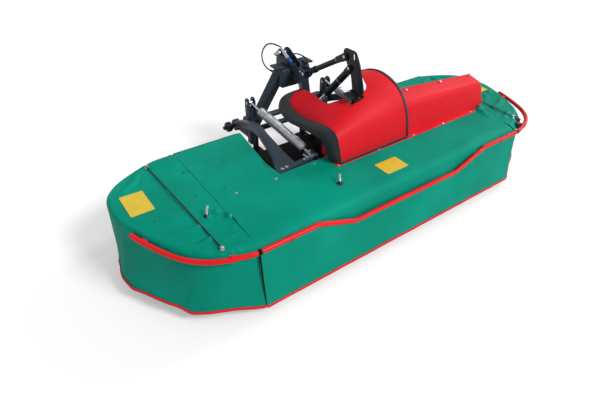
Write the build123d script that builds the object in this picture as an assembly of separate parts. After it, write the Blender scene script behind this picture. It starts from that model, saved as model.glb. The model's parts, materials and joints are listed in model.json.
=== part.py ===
from build123d import *
import math
import os

# Front-mounted disc mower with folding fabric guards and a floating three-point headstock.
# Millimetres. +Z up, ground at Z = 0. The machine travels towards -Y, so its right-hand side is -X.
# The origin lies on the ground under the centre of the machine's box. Fore-and-aft places are given
# as distances behind the front guard tube, and D(...) turns such a distance into Y.

os.makedirs("parts", exist_ok=True)

# ---------------------------------------------------------------- driving dimensions
# guards
TUBE_R = 16            # red guard tubes
TUBE_Z = 487           # their height at the sides
TUBE_DROP = 113        # the middle of the front tube hangs this much lower
TUBE_BEND_R = 90
BEND_OUT_X, BEND_IN_X = 796, 494
END_ARC_R = 545        # plan radius of the end tubes
FABRIC = 3
FABRIC_OVER = 29       # top face of the fabric deck above the middle of the tubes
HEM_Z = 50
END_HEM_Z = 90
HANG_GAP = 0.3         # a soft piece's edge from the tube or rim that carries it
DECK_REAR_D = 1210
JOINT_GAP = 12         # from a tube's end to the middle of the joint
FIXED_BACK, MOVING_BACK = 25, 8        # edges stand back from a fold line
FRONT_FOLD_D = 360     # fold line of the front guard
SEAT = 0.3             # pieces lie this far off the fabric and the rails under it
HINGE_R, HINGE_PIN_R = 11, 6
HINGE_D = (700, 1100)  # hinges of the end guards
HINGE_X = 1000         # hinges of the front guard
KNUCKLE_W = 44
PIN_GAP = 0.05         # radial running clearance of pins

# cutter bar, skids and discs
DISC_COUNT = 8
DISC_PITCH = 370
DISC_R = 158
KNIFE_TIP_R = DISC_PITCH - DISC_R
DISC_D = 450           # disc line behind the front tube
DISC_Z = 112           # underside of the disc plates
DISC_T = 8
CROWN_H = 18
BAR_WIDTH = 230
BAR_BOTTOM, BAR_TOP = 34, 88
HUB_R = 60
DISC_SHAFT_R = 22
TURN_GAP = 6           # air between a turning piece and what stands beside it
SKID_W = 290
SKID_NOSE, SKID_TAIL = 45, 140   # how far the skids reach past the bar
PLATE_T = 6

# main frame
FRONT_BEAM_D = (485, 545)
FRONT_BEAM_H = 100
REAR_BEAM_D = (935, 1035)
REAR_BEAM_Z = (300, 400)
BEAM_WALL = 6
BRACKET_T = 14
RAIL_W, RAIL_H = 40, 40
NOTCH_X_FRONT, NOTCH_X_REAR = 712, 648
NOTCH_D = 556
DECK_PLATE_T = 5

# headstock and hitch
HITCH_D = 1715         # lower hitch axis behind the front tube
HITCH_Z = 295
BALL_R = 46            # lower-link balls
BALL_W = 50
BALL_X = 503
HITCH_PIN_R = 18.3
PIN_FREE = 40          # free end of a lower hitch pin, outside its collar
COLLAR_R, COLLAR_T = 24, 4
CROSS_R = 28
CROSS_BOSS_R = 48
HEAD_X, HEAD_D, HEAD_Z = 150, (1380, 1480), (730, 830)
KNEE = (372, 1530, 560)          # X, distance, height of the bend in each leg
LEG_W = 46
LEG_FOOT_X = 362
TOP_PIN = (1557, 922)            # places as (distance, height) from here on
TOP_PIN_R = 12.7

# linkage
ARM_A = (590, 470)     # arm hinge on the mower
LINK_REAR = (1229, 847)
LINK_MAST = (752, 1128)
CYL_MAST = (697, 1062)
CYL_ARM = (1165, 545)
CYL_EYE_W = 50
CYL_R, CYL_ROD_R = 25, 14
CYL_SPLIT = 400        # barrel length from its upper pin
ARM_HINGE_X = (452, 690)
ARM_REAR_X = 422
ARM_EYE_W = 50
ARM_PIN_R = 15
ARM_TUBE_R = 27
LINK_EYE_R, LINK_PIN_R = 28, 12.5
LINK_TUBE_R = 24
MAST_GAP = 64          # between the mast's plates
MAST_T = 12
SIDE_AIR = 5           # beside an eye between its plates
LUG_T = 12
EAR_T = 8

# springs
SPRING_X = 398
SPRING_TOP = (1478, 598)
SPRING_FOOT = (655, 524)
COIL_R = 38
COIL_START, COIL_END = 60, 700   # from the middle of the foot
SPRING_ROD_R = 14
SPRING_PIN_R = 8
SPRING_EYE_W = 40

# drive
GEARBOX_X = (-145, 105)
GEARBOX_D = (690, 905)
GEARBOX_TOP = 700
STUB_R, STUB_L = 30, 60
PTO_X, PTO_Z = -75, 458
PTO_R, PTO_L = 17.46, 76
GUARD_R, GUARD_L = 50, 190
DRIVE_D, DRIVE_Z = 585, 610
DRIVE_R = 32
HOOD_X = (-340, 370)
SHEET = 4
FLANGE_D = (388, 418)
END_BOX_D = (405, 640)
END_HEAD_D = (492, 630)
END_HEAD_TOP = 665
BAND_W = 30            # width of the hood's dark end

# parking stands
STAND_X, STAND_D = 270, 1652
STAND_W = 40
STAND_WALL = 5
STAND_GAP = 0.5
STAND_TOP_Z = 330
STAND_FOOT_T = 8
SLEEVE_Z = (216, 318)

# hose, and its route as X, distance, height
HOSE_R = 6
HOSE = [
    (-52, 1526, 983), (-52, 1610, 983), (-55, 1705, 966), (-60, 1785, 912), (-64, 1832, 818),
    (-56, 1785, 728), (-56, 1700, 728),
]

# ---------------------------------------------------------------- dimensions that follow
HITCH = (HITCH_D, HITCH_Z)
BALL_END_X = BALL_X + BALL_W / 2
HITCH_PIN_X = BALL_END_X + COLLAR_T + PIN_FREE
TOP_Z = TUBE_Z + FABRIC_OVER
RAIL_TOP = TOP_Z - FABRIC - SEAT
FOLD_Z = TOP_Z - 18    # fold lines of the guards
DISC_X = [(i - (DISC_COUNT - 1) / 2) * DISC_PITCH for i in range(DISC_COUNT)]
JOINT_X = DISC_X[-1] - 85        # where the front tube meets the end tubes
FOLD_X = {"right": JOINT_X + 12, "left": DISC_X[-1] + 55}
FRAME_X = (DISC_X[-1] + DISC_X[-2] - BRACKET_T) / 2
COVER_END_X = DISC_X[-1] + 25
END_BOX_X = (DISC_X[-1] - 50, DISC_X[-1] + 11)
END_BOX_Z = (RAIL_TOP - 73, RAIL_TOP - 3)
MARKER_X = JOINT_X + 420
MARKER_Z = (TOP_Z + SEAT, TOP_Z + SEAT + 2)
RIM_BACK = 30          # the top fabric stops this far inside an end guard's rim
OUTPUT_X = GEARBOX_X[1] + 60     # end of the gearbox's output
Y_TUBE = (TUBE_R - HITCH_D - BALL_R) / 2


def D(distance):
    """Y of a place that lies this far behind the front guard tube."""
    return Y_TUBE + distance


RIGHT, LEFT = -1, 1
SIDES = {"right": RIGHT, "left": LEFT}
LOW = (Align.CENTER, Align.CENTER, Align.MIN)


# ---------------------------------------------------------------- helpers
def block(x0, x1, d0, d1, z0, z1):
    """A box between limits: X, distance behind the front tube, Z."""
    middle = Pos((x0 + x1) / 2, D((d0 + d1) / 2), (z0 + z1) / 2)
    return middle * Box(abs(x1 - x0), abs(d1 - d0), abs(z1 - z0))


def rod(p, q, r):
    """A round bar between two points given as X, distance, Z."""
    a, b = Vector(p[0], D(p[1]), p[2]), Vector(q[0], D(q[1]), q[2])
    return Plane(origin=a, z_dir=b - a) * Cylinder(r, (b - a).length, align=LOW)


def cross_rod(x0, x1, place, r):
    """A round bar along X at a (distance, height) place."""
    return rod((min(x0, x1), *place), (max(x0, x1), *place), r)


def square_bar(p, q, w):
    """A square bar between two points given as X, distance, Z."""
    a, b = Vector(p[0], D(p[1]), p[2]), Vector(q[0], D(q[1]), q[2])
    return Plane(origin=a, x_dir=(1, 0, 0), z_dir=b - a) * Box(w, w, (b - a).length, align=LOW)


def side_plate(points, x0, x1):
    """A plate cut to a (distance, height) outline and standing between two X values."""
    low = min(x0, x1)
    outline = Polyline(*[(low, D(d), z) for d, z in points], close=True)
    return extrude(make_face(outline), amount=abs(x1 - x0), dir=(1, 0, 0))


def level_sheet(points, z0, z1):
    """A sheet cut to an (X, distance) outline between two heights."""
    outline = Polyline(*[(x, D(d), z0) for x, d in points], close=True)
    return extrude(make_face(outline), amount=z1 - z0, dir=(0, 0, 1))


def swept_round(path, r):
    return sweep(Plane(origin=path @ 0, z_dir=path % 0) * Circle(r), path=path)


def towards(a, b, distance):
    """The (distance, height) place this far from a on the way to b."""
    angle = math.atan2(b[1] - a[1], b[0] - a[0])
    return (a[0] + distance * math.cos(angle), a[1] + distance * math.sin(angle))


def bar_between(x, a, b, r):
    """A round bar between two (distance, height) places in the plane at x."""
    return rod((x, *a), (x, *b), r)


def save(name, *shapes):
    """Write one node. Its solids that do not touch stay separate."""
    solids = [s for shape in shapes for s in shape.solids()]
    node = solids[0] if len(solids) == 1 else Compound(children=solids)
    export_step(node, f"parts/{name}.step")


# ---------------------------------------------------------------- cutter bar, skids and discs
BAR_END_X = DISC_X[-1] + KNIFE_TIP_R - 15
BAR_FRONT, BAR_REAR = DISC_D - BAR_WIDTH / 2, DISC_D + BAR_WIDTH / 2


def cutter_bar():
    slope, nose = 40, 14
    profile = [
        (BAR_FRONT + slope, BAR_BOTTOM), (BAR_REAR, BAR_BOTTOM), (BAR_REAR, BAR_TOP),
        (BAR_FRONT + slope, BAR_TOP), (BAR_FRONT, BAR_TOP - nose), (BAR_FRONT, BAR_BOTTOM + nose),
    ]
    bar = side_plate(profile, -BAR_END_X, BAR_END_X)
    hub_height = DISC_Z - TURN_GAP - BAR_TOP
    for x in DISC_X:
        bar += Pos(x, D(DISC_D), BAR_TOP) * Cylinder(HUB_R, hub_height, align=LOW)
        bore = Cylinder(DISC_SHAFT_R + PIN_GAP, hub_height + 10, align=LOW)
        bar -= Pos(x, D(DISC_D), BAR_TOP - 9) * bore
    return bar


def skid_shoes():
    """A curved wear shoe under each disc: flat sole, upturned nose, hung from the bar's underside."""
    front, rear = BAR_FRONT - SKID_NOSE, BAR_REAR + SKID_TAIL
    nose_rise, tail_rise, run = 62, 26, 60
    shoes = []
    for x in DISC_X:
        profile = [
            (front, nose_rise), (front + run, 0), (rear - 40, 0), (rear, tail_rise),
            (rear, tail_rise + PLATE_T), (rear - 42, PLATE_T), (front + run + 4, PLATE_T),
            (front + 8, nose_rise + 5),
        ]
        shoe = side_plate(profile, x - SKID_W / 2, x + SKID_W / 2)
        webs = block(x - 40, x + 40, DISC_D - 60, DISC_D + 60, PLATE_T, BAR_BOTTOM)
        shoes.append(shoe + webs)
    return shoes


def disc(number):
    """Oval disc with two knives, turned a quarter from its neighbour. The last one carries the drive."""
    plate = Cylinder(DISC_R, DISC_T, align=LOW)
    for side in (-1, 1):
        plate -= Pos(0, side * (DISC_R + 28), 0) * Box(2.4 * DISC_R, 110, 3 * DISC_T)
    body = plate + Pos(0, 0, DISC_T) * Cone(70, 46, CROWN_H, align=LOW)
    body += Pos(0, 0, -TURN_GAP - 15) * Cylinder(DISC_SHAFT_R, TURN_GAP + 15, align=LOW)
    knife_w, knife_t, root = 46, 4, DISC_R - 38
    for side in (-1, 1):
        knife = Box(KNIFE_TIP_R - root, knife_w, knife_t)
        body += Pos(side * (root + KNIFE_TIP_R) / 2, 0, -knife_t / 2) * knife
        body += Pos(side * (root + 20), 0, DISC_T) * Cylinder(14, 10, align=LOW)
    if number == DISC_COUNT:
        foot = DISC_T + CROWN_H
        body += Pos(0, 0, foot) * Cylinder(24, END_BOX_Z[0] - TURN_GAP - DISC_Z - foot, align=LOW)
    quarter = 90 * (number % 2)
    return Pos(DISC_X[number - 1], D(DISC_D), DISC_Z) * Rot(0, 0, quarter) * body


save("cutter_bar", cutter_bar())
save("skid_shoes", *skid_shoes())
for number in range(1, DISC_COUNT + 1):
    save(f"disc_{number}", disc(number))


# ---------------------------------------------------------------- main frame
FRONT_BEAM_Z = (RAIL_TOP - FRONT_BEAM_H, RAIL_TOP)


def box_beam(d_range, z_range):
    outer = block(-FRAME_X, FRAME_X, *d_range, *z_range)
    w = BEAM_WALL
    inner = block(-FRAME_X, FRAME_X, d_range[0] + w, d_range[1] - w, z_range[0] + w, z_range[1] - w)
    return outer - inner


def front_beam():
    """The front cross beam with the hinge lugs and pins of both lift arms."""
    beam = box_beam(FRONT_BEAM_D, FRONT_BEAM_Z)
    back = FRONT_BEAM_D[1]
    d, z = ARM_A
    lug = [
        (back, FRONT_BEAM_Z[0]), (back, RAIL_TOP), (back + 20, RAIL_TOP),
        (d + 28, z + 20), (d + 30, z - 12), (d + 10, z - 36),
    ]
    for side in SIDES.values():
        inner, outer = ARM_HINGE_X[0] - SIDE_AIR, ARM_HINGE_X[1] + SIDE_AIR
        beam += side_plate(lug, side * inner, side * (inner - LUG_T))
        beam += side_plate(lug, side * outer, side * (outer + LUG_T))
        beam += cross_rod(side * (inner - LUG_T), side * (outer + LUG_T), ARM_A, ARM_PIN_R)
        beam += spring_foot(side)
        beam += front_hinge_ears(side)
    return beam


def front_hinge_ears(side):
    """Two ears ahead of the front beam and the pin between them, for the front guard."""
    beam, d, z = FRONT_BEAM_D[0], FRONT_FOLD_D, FOLD_Z
    ear = [
        (beam, z - 40), (beam, z + 2), (d + 12, z + 10), (d - 8, z + 10), (d - 10, z - 8), (d + 12, z - 12),
    ]
    x = side * HINGE_X
    half = KNUCKLE_W / 2 + 3
    ears = side_plate(ear, x - half, x - half - EAR_T) + side_plate(ear, x + half, x + half + EAR_T)
    return ears + cross_rod(x - half - EAR_T, x + half + EAR_T, (d, z), HINGE_PIN_R)


def spring_foot(side):
    """Two ears over the front beam's back edge that carry a spring's lower pin."""
    half = SPRING_EYE_W / 2 + SIDE_AIR
    back = FRONT_BEAM_D[1]
    d, z = SPRING_FOOT
    low = RAIL_TOP - 45
    ear = [
        (back, low), (back, RAIL_TOP - 2), (NOTCH_D + 6, RAIL_TOP - 2), (d, z + 20), (d + 18, z), (d, z - 20),
        (back + 40, low),
    ]
    x = side * SPRING_X
    ears = side_plate(ear, x - half, x - half - EAR_T) + side_plate(ear, x + half, x + half + EAR_T)
    return ears + cross_rod(x - half - EAR_T, x + half + EAR_T, SPRING_FOOT, SPRING_PIN_R)


def side_frame(name):
    """Bent plate from the beams down to the bar, the deck rails on it and the fold line's hinge pins."""
    side = SIDES[name]
    fold = FOLD_X[name]
    arm = [
        (FRONT_BEAM_D[0], FRONT_BEAM_Z[0]), (FRONT_BEAM_D[0], FRONT_BEAM_Z[1]), (640, FRONT_BEAM_Z[1]),
        (REAR_BEAM_D[1], REAR_BEAM_Z[1] + 20), (REAR_BEAM_D[1], REAR_BEAM_Z[0]),
        (790, 210), (BAR_REAR + 60, 70), (BAR_REAR + 30, 70), (BAR_REAR + 30, 200), (650, 340),
    ]
    frame = side_plate(arm, side * FRAME_X, side * (FRAME_X + BRACKET_T))
    frame += block(side * (FRAME_X - 60), side * (FRAME_X + 60), BAR_REAR, BAR_REAR + 34, 44, 84)
    rail_z = (RAIL_TOP - RAIL_H, RAIL_TOP)
    outer_rail = (fold - FIXED_BACK - RAIL_W, fold - FIXED_BACK)
    inner_rail = (NOTCH_X_FRONT + 20, NOTCH_X_FRONT + 20 + RAIL_W)
    rear = DECK_REAR_D - 10
    front = END_BOX_D[1] + SEAT if side == LEFT else FRONT_BEAM_D[1]
    frame += block(side * outer_rail[0], side * outer_rail[1], front, rear, *rail_z)
    frame += block(side * FRAME_X, side * outer_rail[1], 720, 760, *rail_z)
    frame += block(side * inner_rail[0], side * inner_rail[1], FRONT_BEAM_D[1], rear, *rail_z)
    frame += block(side * inner_rail[0], side * outer_rail[1], rear - RAIL_W, rear, *rail_z)
    post = (REAR_BEAM_D[0] + 20, REAR_BEAM_D[0] + 60)
    frame += block(side * inner_rail[0], side * inner_rail[1], *post, REAR_BEAM_Z[1] + DECK_PLATE_T, RAIL_TOP)
    for d in HINGE_D:
        half = KNUCKLE_W / 2
        for d0, d1 in ((d - half - 15, d - half - 3), (d + half + 3, d + half + 15)):
            frame += block(side * (fold - FIXED_BACK), side * (fold + 8), d0, d1, FOLD_Z - 10, FOLD_Z + 8)
        frame += rod((side * fold, d - half - 15, FOLD_Z), (side * fold, d + half + 15, FOLD_Z), HINGE_PIN_R)
    return frame


save("front_beam", front_beam())
save("rear_beam", box_beam(REAR_BEAM_D, REAR_BEAM_Z))
for name in SIDES:
    save(f"side_frame_{name}", side_frame(name))
deck_plate_z = (REAR_BEAM_Z[1], REAR_BEAM_Z[1] + DECK_PLATE_T)
save("deck_plate", block(-FRAME_X, FRAME_X, FRONT_BEAM_D[0], REAR_BEAM_D[1], *deck_plate_z))


# ---------------------------------------------------------------- drive
def gearbox():
    """Centre gearbox on the deck plate, with its input stub to the rear and its output to the left."""
    floor = REAR_BEAM_Z[1] + DECK_PLATE_T
    body = block(*GEARBOX_X, *GEARBOX_D, floor, GEARBOX_TOP)
    reach, half = DRIVE_D - 60, 70
    body += block(GEARBOX_X[1] - 45, OUTPUT_X, reach, GEARBOX_D[0] + 20, DRIVE_Z - half, DRIVE_Z + half)
    rear = GEARBOX_D[1]
    body += rod((PTO_X, rear, PTO_Z), (PTO_X, rear + STUB_L, PTO_Z), STUB_R)
    return body + rod((PTO_X, rear, PTO_Z), (PTO_X, rear + STUB_L + PTO_L, PTO_Z), PTO_R)


def pto_guard():
    """A round guard over the input stub, open along its underside."""
    near, far = GEARBOX_D[1], GEARBOX_D[1] + GUARD_L
    shell = rod((PTO_X, near, PTO_Z), (PTO_X, far, PTO_Z), GUARD_R)
    shell -= rod((PTO_X, near - 1, PTO_Z), (PTO_X, far + 1, PTO_Z), GUARD_R - SHEET)
    wide = GUARD_R + 10
    return shell - block(PTO_X - wide, PTO_X + wide, near - 1, far + 1, PTO_Z - wide, PTO_Z - 20)


def end_gearbox():
    """Right-angle gearbox over the last disc, on an arm from the side frame."""
    rail = (FOLD_X["left"] - FIXED_BACK - RAIL_W, FOLD_X["left"] - FIXED_BACK)
    body = block(END_BOX_X[0], rail[1], *END_BOX_D, *END_BOX_Z)
    body += block(*END_BOX_X, *END_HEAD_D, END_BOX_Z[0], END_HEAD_TOP)
    arm = block(FRAME_X + BRACKET_T, END_BOX_X[0], *FRONT_BEAM_D, END_BOX_Z[0], END_BOX_Z[0] + 50)
    front_rail = block(*rail, 40, END_BOX_D[0], RAIL_TOP - RAIL_H, RAIL_TOP)
    return body + arm + front_rail


save("gearbox", gearbox())
save("pto_guard", pto_guard())
save("drive_shaft", cross_rod(OUTPUT_X, END_BOX_X[0], (DRIVE_D, DRIVE_Z), DRIVE_R))
save("end_gearbox", end_gearbox())


# ---------------------------------------------------------------- mast and hood
def mast():
    """Two upright plates on a foot, with the pins of the upper link and the cylinder between them."""
    front, foot_t, pin_end = FRONT_BEAM_D[0], 12, 10
    profile = [
        (front, RAIL_TOP + 1), (640, RAIL_TOP + 1), (655, 700), (700, 900), (790, 1100), (815, 1140),
        (790, 1172), (690, 1172), (655, 1110), (630, 1020), (555, 870), (front, 620),
    ]
    inner, outer = MAST_GAP / 2, MAST_GAP / 2 + MAST_T
    body = block(-outer, outer, *FRONT_BEAM_D, RAIL_TOP, RAIL_TOP + foot_t)
    for side in SIDES.values():
        body += side_plate(profile, side * inner, side * outer)
    for place in (LINK_MAST, CYL_MAST):
        body += cross_rod(-outer - pin_end, outer + pin_end, place, LINK_PIN_R)
    return body


ARCH = [
    # distance, rise over the fabric deck
    (409, 2), (426, 143), (455, 235), (539, 343), (678, 406), (777, 413), (866, 398), (943, 367), (1120, 284),
]
ARCH_LINE = [(d, TOP_Z + rise) for d, rise in ARCH]
BAND_LOWER = [(1042, 157), (907, 154), (742, 160), (623, 189), (509, 186), (450, 112), (432, 27)]


def inset(points, t):
    """The same line moved by t to its lower right, by the mean normal at each point."""
    moved = []
    for i, (d, z) in enumerate(points):
        before, after = points[max(i - 1, 0)], points[min(i + 1, len(points) - 1)]
        run = math.hypot(after[0] - before[0], after[1] - before[1])
        moved.append((d + t * (after[1] - before[1]) / run, z - t * (after[0] - before[0]) / run))
    return moved


def hood():
    """Arched shell over the drive, cut open to the rear around the mast and upper link."""
    shell = side_plate(ARCH_LINE + inset(ARCH_LINE, SHEET)[::-1], *HOOD_X)
    rear, over = ARCH[-1][0] + 100, TOP_Z + 500
    shell -= block(-150, 150, 760, rear, TOP_Z + 184, over)
    shell -= block(-62, 62, 520, rear, TOP_Z + 274, over)
    return shell + block(*HOOD_X, *FLANGE_D, TOP_Z + SEAT, TOP_Z + SEAT + SHEET)


def hood_end():
    """Dark end panel of the hood on the right: an arch-shaped band."""
    upper = inset(ARCH_LINE, SHEET + 1)[1:-1]
    tip = (1100, TOP_Z + 284)
    lower = [(d, TOP_Z + rise) for d, rise in BAND_LOWER]
    return side_plate(upper + [tip] + lower, HOOD_X[0], HOOD_X[0] + BAND_W)


COVER_RISE = {
    # edges over the fabric deck at the hood and at the left end: front, rear
    "hood": (234, 284),
    "end": (184, 214),
}


def cover_section(x, rise, t):
    """Section of the drive cover at x, drawn inward by t."""
    base = TOP_Z + SEAT
    front_top, rear_top = TOP_Z + rise[0] - t, TOP_Z + rise[1] - t
    points = [(428 + t, base), (487 + t / 2, front_top), (650 - t / 2, rear_top), (668 - t, base)]
    return make_face(Polyline(*[(x, D(d), z) for d, z in points], close=True))


def drive_cover():
    """Long red cover from the hood to the left end, hollow and open below."""
    near, far = HOOD_X[1], COVER_END_X
    high, low = COVER_RISE["hood"], COVER_RISE["end"]
    outer = loft([cover_section(near, high, 0), cover_section(far, low, 0)], ruled=True)
    inner = loft([cover_section(near, high, SHEET), cover_section(far - SHEET, low, SHEET)], ruled=True)
    cover = outer - inner - block(near - 1, ARM_HINGE_X[1] + 40, 600, 700, TOP_Z, TOP_Z + 60)
    return cover + block(near, JOINT_X - 20, FLANGE_D[0], 434, TOP_Z + SEAT, TOP_Z + SEAT + SHEET)


save("mast", mast())
save("hood", hood())
save("hood_end", hood_end())
save("drive_cover", drive_cover())


# ---------------------------------------------------------------- fabric deck
def deck_fabric(name):
    side = SIDES[name]
    edge = FOLD_X[name] - FIXED_BACK
    inner = (-HOOD_X[0] if side == RIGHT else HOOD_X[1]) + 5
    front = FRONT_FOLD_D + FIXED_BACK
    points = [(inner, front), (edge, front), (edge, DECK_REAR_D), (NOTCH_X_REAR, DECK_REAR_D),
              (NOTCH_X_FRONT, NOTCH_D), (inner, NOTCH_D)]
    if edge > JOINT_X:
        points[1:2] = [(JOINT_X - 5, front), (JOINT_X - 5, 25), (edge, 25)]
    sheet = level_sheet([(side * x, d) for x, d in points], TOP_Z - FABRIC, TOP_Z)
    if side == LEFT:
        x0, x1 = END_BOX_X[0] - TURN_GAP, END_BOX_X[1] + TURN_GAP
        sheet -= block(x0, x1, END_HEAD_D[0] - TURN_GAP, END_HEAD_D[1] + TURN_GAP, TOP_Z - 10, TOP_Z + 10)
    return sheet


for name in SIDES:
    save(f"deck_fabric_{name}", deck_fabric(name))


# ---------------------------------------------------------------- end guards
def end_outline(name, offset):
    """Plan of an end guard's rim, drawn inward by offset: the front arc, and the points that follow it."""
    r = END_ARC_R - offset
    x_side, x_rear = JOINT_X + r, FOLD_X[name] + 12
    side = SIDES[name]
    rear = DECK_REAR_D - offset

    arc = CenterArc((side * JOINT_X, D(END_ARC_R)), r, -90, side * 90)
    corner = JOINT_X + 230
    plan = [(x_side, END_ARC_R), (x_side, 860), (x_side - 65, 1050), (corner, rear), (x_rear, rear)]
    return arc, [(side * x, D(d)) for x, d in plan]


def end_wall(name):
    """The curtain that hangs from the end tube and the deck's rim."""
    side = SIDES[name]
    outer_arc, outer = end_outline(name, 0)
    inner_arc, inner = end_outline(name, FABRIC)
    chain = outer_arc + Polyline(*outer)
    closing = Polyline(outer[-1], inner[-1])
    back = Polyline(*inner[::-1]) + inner_arc
    front = Polyline(inner_arc @ 0, outer_arc @ 0)
    face = make_face(chain.edges() + closing.edges() + back.edges() + front.edges())
    tube_low = TUBE_Z - TUBE_R - HANG_GAP
    wall = extrude(Pos(0, 0, END_HEM_Z) * face, amount=tube_low - END_HEM_Z, dir=(0, 0, 1))
    rear_face = make_face(Polyline(*outer, *inner[::-1], close=True))
    above = extrude(Pos(0, 0, tube_low) * rear_face, amount=TUBE_Z + TUBE_R - tube_low, dir=(0, 0, 1))
    far = JOINT_X + 2 * END_ARC_R
    wall += above - block(-far, far, 0, END_ARC_R + TUBE_R + 4, 0, TOP_Z + 100)
    return wall - block(side * (JOINT_X - 5), side * (JOINT_X + JOINT_GAP), -20, 20, 0, TOP_Z + 100)


def end_top(name):
    """The end guard's top fabric, from the fold line to just inside the rim."""
    side = SIDES[name]
    fold = FOLD_X[name] + MOVING_BACK
    points = end_outline(name, RIM_BACK)[1]
    r = END_ARC_R - RIM_BACK
    angle = math.degrees(math.acos((fold - JOINT_X) / r))
    start = -angle if side == LEFT else 180 + angle
    lead = CenterArc((side * JOINT_X, D(END_ARC_R)), r, start, side * angle)
    points[-1] = (side * fold, points[-1][1])
    rest = Polyline(lead @ 1, *points[1:], lead @ 0)
    face = make_face(lead.edges() + rest.edges())
    return extrude(Pos(0, 0, TOP_Z - FABRIC) * face, amount=FABRIC, dir=(0, 0, 1))


def end_tube(name):
    side = SIDES[name]
    lead = math.degrees(JOINT_GAP / END_ARC_R)
    arc = CenterArc((side * JOINT_X, D(END_ARC_R), TUBE_Z), END_ARC_R, -90 + side * lead, side * (90 - lead))
    return swept_round(arc, TUBE_R)


def end_frame(name):
    """Hinge rail with its knuckles, flat outriggers under the fabric and the rim the curtain hangs on."""
    side = SIDES[name]
    fold = FOLD_X[name]
    half = KNUCKLE_W / 2
    bar_z = (TUBE_Z + TUBE_R + HANG_GAP, RAIL_TOP)
    frame = block(side * (fold + 20), side * (fold + 44), 90, DECK_REAR_D - 40, bar_z[0] - 24, bar_z[1])
    outer = end_outline(name, -6)[1]
    inner = end_outline(name, 20)[1]
    band = Polyline(*outer, *inner[::-1], close=True)
    frame += extrude(Pos(0, 0, bar_z[0]) * make_face(band), amount=bar_z[1] - bar_z[0], dir=(0, 0, 1))
    frame += block(side * (fold + 20), side * (JOINT_X + END_ARC_R / 2), 100, 130, *bar_z)
    reach = JOINT_X + END_ARC_R - 10
    frame += block(side * (fold + 20), side * reach, END_ARC_R - 20, END_ARC_R + 10, *bar_z)
    for d in HINGE_D:
        knuckle = rod((side * fold, d - half, FOLD_Z), (side * fold, d + half, FOLD_Z), HINGE_R)
        knuckle += block(side * fold, side * (fold + 24), d - half, d + half, FOLD_Z - 11, FOLD_Z + 5)
        bore = rod((side * fold, d - 30, FOLD_Z), (side * fold, d + 30, FOLD_Z), HINGE_PIN_R + PIN_GAP)
        knuckle -= bore
        frame += knuckle
    return frame


for name in SIDES:
    save(f"end_curtain_{name}", end_wall(name))
    save(f"end_fabric_{name}", end_top(name))
    save(f"end_tube_{name}", end_tube(name))
    save(f"end_frame_{name}", end_frame(name))
    x = SIDES[name] * MARKER_X
    save(f"marker_plate_{name}", block(x - 75, x + 75, 665, 895, *MARKER_Z))


# ---------------------------------------------------------------- front guard
def front_tube():
    low = TUBE_Z - TUBE_DROP
    end = JOINT_X - JOINT_GAP
    path = FilletPolyline((-end, D(0), TUBE_Z), (-BEND_OUT_X, D(0), TUBE_Z), (-BEND_IN_X, D(0), low),
                          (BEND_IN_X, D(0), low), (BEND_OUT_X, D(0), TUBE_Z), (end, D(0), TUBE_Z),
                          radius=TUBE_BEND_R)
    return swept_round(path, TUBE_R)


def front_curtain():
    """The curtain between the end guards. Its top edge follows the tube."""
    end = JOINT_X - JOINT_GAP
    below = TUBE_R + 2
    top, low = TUBE_Z - below, TUBE_Z - TUBE_DROP - below
    shift = below * math.tan(math.atan2(TUBE_DROP, BEND_OUT_X - BEND_IN_X) / 2)
    bend_out, bend_in = BEND_OUT_X + shift, BEND_IN_X + shift
    points = [(-end, HEM_Z), (end, HEM_Z), (end, top), (bend_out, top), (bend_in, low),
              (-bend_in, low), (-bend_out, top), (-end, top)]
    outline = Polyline(*[(x, D(-FABRIC / 2), z) for x, z in points], close=True)
    return extrude(make_face(outline), amount=FABRIC, dir=(0, 1, 0))


def front_frame():
    """Hinge rail behind the fold line and flat outriggers that carry the tube."""
    bar_z = (TUBE_Z + TUBE_R + HANG_GAP, RAIL_TOP)
    end = JOINT_X - JOINT_GAP - 20
    frame = block(-end, end, FRONT_FOLD_D - 44, FRONT_FOLD_D - 20, bar_z[0] - 14, bar_z[1])
    half = KNUCKLE_W / 2
    fold = (FRONT_FOLD_D, FOLD_Z)
    for x in (-HINGE_X, HINGE_X):
        frame += block(x - half, x + half, -10, FRONT_FOLD_D - 20, *bar_z)
        frame += cross_rod(x - half, x + half, fold, HINGE_R)
        frame += block(x - half, x + half, FRONT_FOLD_D - 24, FRONT_FOLD_D, FOLD_Z - 9, FOLD_Z + 5)
        frame -= cross_rod(x - half, x + half, fold, HINGE_PIN_R + PIN_GAP)
    return frame


save("front_tube", front_tube())
save("front_curtain", front_curtain())
save("front_frame", front_frame())
edge = JOINT_X - JOINT_GAP - 8
save("front_fabric", block(-edge, edge, 22, FRONT_FOLD_D - MOVING_BACK, TOP_Z - FABRIC, TOP_Z))
save("marker_plate_middle", block(-110, 90, 120, 260, *MARKER_Z))


def handle(x, d):
    """A small latch lever on a black base."""
    seat = TOP_Z + SEAT
    base = block(x - 24, x + 24, d - 20, d + 20, seat, seat + 14)
    return base + rod((x, d, seat + 10), (x + 30, d + 40, seat + 40), 7)


save("end_latch_right", handle(-JOINT_X - 117, 416))
save("front_latch", handle(-451, 226))


# ---------------------------------------------------------------- lift arms
ARM_LINE = [
    # X, distance, height, width, depth
    (620, 640, 488, 150, 46),
    (605, 800, 538, 90, 56),
    (585, 956, 562, 58, 60),
    (545, 1124, 550, 54, 60),
    (500, 1319, 505, 52, 60),
    (460, 1510, 420, 50, 60),
    (ARM_REAR_X, HITCH_D, HITCH_Z, ARM_EYE_W, 60),
]


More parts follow.
